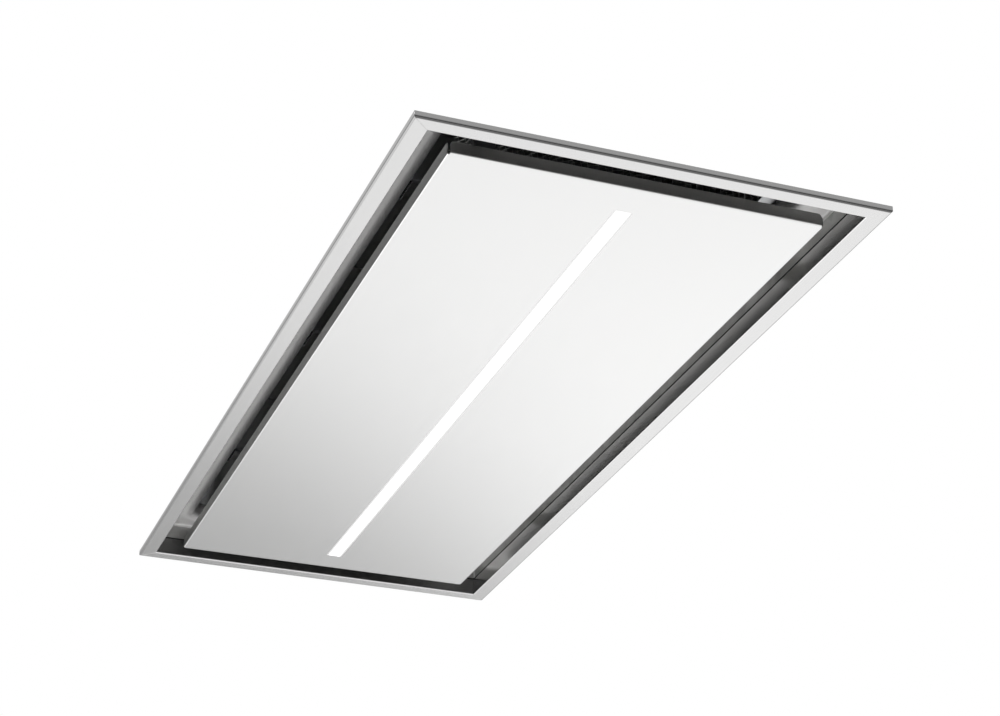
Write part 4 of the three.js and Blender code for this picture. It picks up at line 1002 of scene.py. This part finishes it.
# a plain turned pin along y with broken ends
def turnedPin(nodeName, chamfer=0.4):
    size = halfSize(nodeName)
    half, radius = size.y, size.x
    profile = [(0, -half), (radius - chamfer, -half), (radius, -half + chamfer), (radius, half - chamfer),
               (radius - chamfer, half), (0, half)]
    remade(nodeName, moved(spun(profile, "Y", 32), *middle(nodeName)))


turnedPin("flap_spindle")
turnedPin("motor_shaft", 0.6)

gland = {"bore": 4.0, "body": 9.0, "nut": 13.0, "nutHeight": 5.0, "capNut": 11.5, "capNutHeight": 4.5,
         "dome": 8.0, "taper": 2.0, "chamfer": 0.8, "edge": 0.2}


def makeGland():
    low, high = corners("cable_gland")
    centre = middle("cable_gland")
    bore, radius, chamfer = gland["bore"], gland["body"], gland["chamfer"]
    neck = high.z - gland["dome"]
    tube = spun([(bore, low.z), (radius, low.z), (radius, neck + gland["taper"]), (radius - 0.7, high.z - 3),
                 (radius - gland["taper"], high.z), (bore + chamfer, high.z), (bore, high.z - chamfer)])
    nuts = []
    for start, height, across in ((neck - gland["nutHeight"], gland["nutHeight"], gland["nut"]),
                                  (neck + 0.5, gland["capNutHeight"], gland["capNut"])):
        end = start + height
        nuts.append(hexagon([(start, across - chamfer), (start + chamfer, across), (end - chamfer, across),
                             (end, across - chamfer)]))
    core = spun(oblong(0, radius - 0.5, low.z, high.z + 1))
    mesh = gathered("cable_gland", [meshOf("tube", tube), carved(meshOf("nuts", together(nuts)), [core])])
    mesh.transform(Matrix.Translation((centre.x * mm, centre.y * mm, 0)))
    soften(skin("cable_gland", mesh), gland["edge"])


makeGland()
print("collar, flaps and gland made")

# electronics under the top sheet
refined("electronics_box", 0.4, 3)
refined("electronics_lid", 0.4, 3)
refined("control_board", 0.1)
lid = {"screwInset": 7.0, "screw": 3.0, "screwHeight": 1.8}


def makeLidScrews():
    low, high = corners("electronics_lid")
    inset = lid["screwInset"]
    places = [(x, y, low.z) for x in (low.x + inset, high.x - inset)
              for y in (low.y + inset, high.y - inset)]
    screw = panScrew(lid["screw"], lid["screwHeight"])
    fasten("lid_screws", screw, places, "electronics_lid", direction=(0, 0, -1))


makeLidScrews()

# blower: bladed wheel, scroll, motor on its three arms
wheel = {"bladeDepth": 13.0, "blades": 32, "sheet": 1.2, "sweep": 0.35, "inset": 0.3, "ring": 4.0,
         "disc": 2.0, "discInset": 0.5, "hub": 14.0, "taper": 2.0, "hubLength": 26.0, "bore": 4.2,
         "steps": 8, "segments": 96}


def wheelBlade(inner, half):  # one blade, reaching into both end rings
    front, back = [], []
    for share in evenly(0, 1, wheel["steps"] + 1):
        r = inner + wheel["inset"] + (wheel["bladeDepth"] - 2 * wheel["inset"]) * share
        turn, thick = wheel["sweep"] * share * share, wheel["sheet"] / 2 / r
        front.append((r * math.cos(-turn - thick), r * math.sin(-turn - thick)))
        back.append((r * math.cos(-turn + thick), r * math.sin(-turn + thick)))
    reach = half - wheel["ring"] / 2
    return drawnOut(back + front[::-1], "Y", -reach, reach)


def makeWheel():
    size = halfSize("impeller")
    radius, half, inner = size.x, size.y, size.x - wheel["bladeDepth"]
    points, faces = wheelBlade(inner, half)
    shapes = []
    for t in around(wheel["blades"]):
        c, s = math.cos(t), math.sin(t)
        shapes.append(([(c * x - s * z, y, s * x + c * z) for x, y, z in points], faces))
    ring = half - wheel["ring"]
    for side in (-1, 1):
        shapes.append(spun(oblong(inner, radius, side * ring, side * half), "Y", wheel["segments"]))
    disc, bore, rim, hub = wheel["disc"] / 2, wheel["bore"], radius - wheel["discInset"], wheel["hub"]
    profile = [(bore, -disc), (rim, -disc), (rim, disc), (hub, disc),
               (hub - wheel["taper"], wheel["hubLength"]), (bore, wheel["hubLength"])]
    shapes.append(spun(profile, "Y", wheel["segments"]))
    remade("impeller", moved(together(shapes), *middle("impeller")))


makeWheel()
for nodeName in ("volute_half_near", "volute_half_far"):
    refined(nodeName, 0.2, 2, 40)
refined("motor_bracket", 0.3, 2, 36)

motor = {"boss": 23.0, "bossRise": 5.0, "bellDepth": 13.0, "bellRim": 17.0, "step": 1.5, "bore": 5.0,
         "pocket": 11.3, "pocketDepth": 7.3, "statorDepth": 8.0, "statorInset": 0.6, "boltReach": 34.0,
         "boltSink": 7.8}


def makeMotor():
    centre, size = middle("motor"), halfSize("motor")
    radius, half = size.x, size.y
    boss, rise, depth, pocket = motor["boss"], motor["bossRise"], motor["bellDepth"], motor["pocket"]
    rim = depth + motor["bellRim"]
    bell = [(motor["bore"], motor["pocketDepth"]), (pocket, motor["pocketDepth"]), (pocket, 0),
            (boss - 1, 0), (boss, 1), (boss, rise)]
    for share in evenly(0.15, 1, 8):
        bell.append((radius - (radius - boss) * (1 - share) ** 2, rise + (depth - rise) * share))
    bell += [(radius, rim), (radius - motor["step"], rim)]
    profile = bothWays([(r, half - z) for r, z in bell])
    remade("motor", moved(spun(profile, "Y", 72), *centre), angle=36)
    reach, outer, inner = half - rim, radius - motor["statorInset"], radius - motor["statorDepth"]
    stator = spun(oblong(inner, outer, -reach, reach), "Y", 72)
    fitted("motor_stator", moved(stator, *centre), "stator", "motor")
    ring = [(motor["boltReach"] * math.cos(t + math.pi / 4), motor["boltReach"] * math.sin(t + math.pi / 4))
            for t in around(4)]
    for sign, end in ((1, "front"), (-1, "rear")):
        y = centre.y + sign * (half - motor["boltSink"])
        places = [(centre.x + x, y, centre.z + z) for x, z in ring]
        fasten(f"motor_bolts_{end}", hexScrew(3.0, 3.8, 3.2), places, "motor", direction=(0, sign, 0))


# ball bearing: two rings with a shield sunk between them
bearing = {"bore": 4.3, "innerRing": 6.2, "outerRing": 9.2, "sink": 0.5, "slope": 0.2, "chamfer": 0.4}


def makeBearing(nodeName):
    size = halfSize(nodeName)
    outer, run, slope, sunk = size.x, size.y, bearing["slope"], size.y - bearing["sink"]
    inside, outside, chamfer = bearing["innerRing"], bearing["outerRing"], bearing["chamfer"]
    side = [(bearing["bore"], -run), (inside, -run), (inside + slope, -sunk), (outside - slope, -sunk),
            (outside, -run), (outer - chamfer, -run), (outer, chamfer - run)]
    remade(nodeName, moved(spun(bothWays(side), "Y", 40), *middle(nodeName)))


# drawn can with a bead near its crimped lower end
can = {"crimp": 3.0, "groove": 1.2, "bead": 4.0, "beadDepth": 0.6, "beadEnd": 6.0, "shoulder": 2.0}


def makeCapacitor():
    low, high = corners("motor_capacitor")
    place, radius = middle("motor_capacitor"), halfSize("motor_capacitor").x
    bottom, top, shoulder, neck = low.z, high.z, can["shoulder"], radius - can["beadDepth"]
    start, end = bottom + can["bead"], bottom + can["beadEnd"]
    profile = [(0, bottom), (radius - can["crimp"], bottom), (radius - 2, bottom + can["groove"]),
               (radius - 1, bottom), (radius, bottom + 1), (radius, start - 1), (neck, start), (neck, end),
               (radius, end + 1), (radius, top - shoulder), (radius - shoulder, top), (0, top)]
    remade("motor_capacitor", moved(spun(profile), place.x, place.y, 0))


makeMotor()
makeBearing("bearing_front")
makeBearing("bearing_rear")
makeCapacitor()
print("blower made")


# the room: pale floor, a ceiling board seen from below only, studio light
room = {"floorDepth": 2.4, "floorReach": 30.0, "ceilingLevel": 0.0068, "ceilingReach": 9.0,
        "ceilingBite": 0.0003, "fill": 0.62}

# what polished metal mirrors: grey above, a dark band level with it, bright below but dim far ahead
sky = {"ahead": (-0.35, 0.35), "aboveBack": 0.385, "aboveAhead": 0.55, "aboveDim": 0.22,
       "aboveEdge": (0.06, 0.2), "bandBack": 0.11, "bandAhead": 0.35, "belowStartBack": 0.25,
       "belowStartAhead": -0.094, "belowEndBack": 0.5, "belowEndAhead": 0.403, "below": 1.254,
       "belowSide": 0.192, "steep": 2.0, "steepStart": 0.42, "steepReach": 0.12, "left": 0.2,
       "leftEdge": (0.0, 0.25), "leftAhead": (0.5, 0.8), "dim": 0.938, "dimLean": 0.079,
       "dimEdge": (0.8385, 0.8645)}
lamp = {"place": (-1.8, -2.4, 2.6), "aim": (0, 0, 0.2), "size": 1.6, "power": 40.0}


# one sheet of the room, clear where it is hidden
def stageSheet(name, made, shader, hidden, points, faces):
    clear = made.add("ShaderNodeBsdfTransparent")
    shown = made.add("ShaderNodeMixShader", sockets={0: hidden, 1: shader.outputs[0], 2: clear.outputs[0]})
    made.join(made.tree.nodes["Material Output"].inputs["Surface"], shown.outputs[0])
    made.tree.nodes.remove(made.shader)
    mesh = bpy.data.meshes.new(name)
    mesh.from_pydata(points, [], faces)
    mesh.materials.append(made.material)
    sheet = bpy.data.objects.new(name, mesh)
    bpy.context.scene.collection.objects.link(sheet)


def rectangle(x, y, z):
    return [(px, py, z) for px, py in oblong(-x, x, -y, y)]


def makeFloor():
    made = Finish("paleFloor")
    pale = made.mixed(made.noise(0.8, 3), (0.86, 0.86, 0.86), (0.90, 0.90, 0.90))
    matte = made.add("ShaderNodeBsdfDiffuse", sockets={"Color": pale})
    under = made.value(made.add("ShaderNodeNewGeometry"), "Backfacing")
    hidden = made.value(made.add("ShaderNodeLightPath"), "Is Glossy Ray").most(under)
    points = rectangle(room["floorReach"], room["floorReach"], -room["floorDepth"])
    stageSheet("floor", made, matte, hidden, points, [(0, 1, 2, 3)])


# the board that hides the body in the photograph; from above it isn't there
def makeCeiling():
    made = Finish("ceilingBoard")
    white = made.add("ShaderNodeEmission", sockets={"Color": (1.0, 1.0, 1.0), "Strength": 1.0})
    above = made.value(made.add("ShaderNodeNewGeometry"), "Backfacing")
    seen = made.value(made.add("ShaderNodeLightPath"), "Is Camera Ray") * (1 - above)
    reach, bite, z = room["ceilingReach"], room["ceilingBite"], room["ceilingLevel"]
    points = rectangle(reach, reach, z) + rectangle(halfWidth - bite, halfLength - bite, z)
    faces = [(i, 4 + i, 4 + (i + 1) % 4, (i + 1) % 4) for i in range(4)]
    stageSheet("ceiling", made, white, 1 - seen, points, faces)


def eased(value, start, end):  # 0 before the start, 1 beyond the end
    share = ((value - start) / (end - start)).most(0.0).least(1.0)
    return share * share * (3 - 2 * share)


def blended(back, front, share):
    return sky[back] + (sky[front] - sky[back]) * share


def makeWorld():
    world = bpy.data.worlds.new("studio")
    bpy.context.scene.world = world
    world.use_nodes = True
    world.node_tree.nodes.clear()
    made = Nodes(world.node_tree)
    rays = made.add("ShaderNodeLightPath")
    toward = made.coordinates(made.add("ShaderNodeTexCoord").outputs["Generated"])
    x, y, z = toward["X"], toward["Y"], toward["Z"]
    ahead = eased(y, *sky["ahead"])
    farAhead = eased(y - sky["dimLean"] * z.size(), *sky["dimEdge"])
    above = blended("aboveBack", "aboveAhead", ahead) * (1 - sky["aboveDim"] * farAhead)
    band = blended("bandBack", "bandAhead", ahead)
    steep = sky["steep"] * (0 - z - sky["steepStart"]).most(0.0).least(sky["steepReach"])
    left = sky["left"] * eased(0 - x, *sky["leftEdge"]) * eased(y, *sky["leftAhead"])
    below = sky["below"] - sky["belowSide"] * x - sky["dim"] * farAhead - steep + left
    start = blended("belowStartBack", "belowStartAhead", ahead)
    end = blended("belowEndBack", "belowEndAhead", ahead)
    mirrored = band + (above - band) * eased(z, *sky["aboveEdge"])
    mirrored = mirrored + (below - band) * eased(0 - z, start, end)
    glossy = made.value(rays, "Is Glossy Ray")
    tone = glossy * mirrored + (1 - glossy) * room["fill"]
    seen = made.value(rays, "Is Camera Ray").most(made.value(rays, "Is Transmission Ray"))
    tone = seen + (1 - seen) * tone
    shade = made.add("ShaderNodeBackground", sockets={"Strength": tone, "Color": (1, 1, 1)})
    made.add("ShaderNodeOutputWorld", sockets={"Surface": shade.outputs[0]})


def makeLamp():
    light = bpy.data.lights.new("keyAbove", "AREA")
    light.shape = "DISK"
    light.size = lamp["size"]
    light.energy = lamp["power"]
    holder = bpy.data.objects.new("keyAbove", light)
    bpy.context.scene.collection.objects.link(holder)
    holder.location = lamp["place"]
    holder.rotation_euler = (Vector(lamp["aim"]) - Vector(lamp["place"])).to_track_quat("-Z", "Y").to_euler()


makeFloor()
makeCeiling()
makeWorld()
makeLamp()
print("room made")

bpy.context.scene.view_settings.view_transform = "Standard"
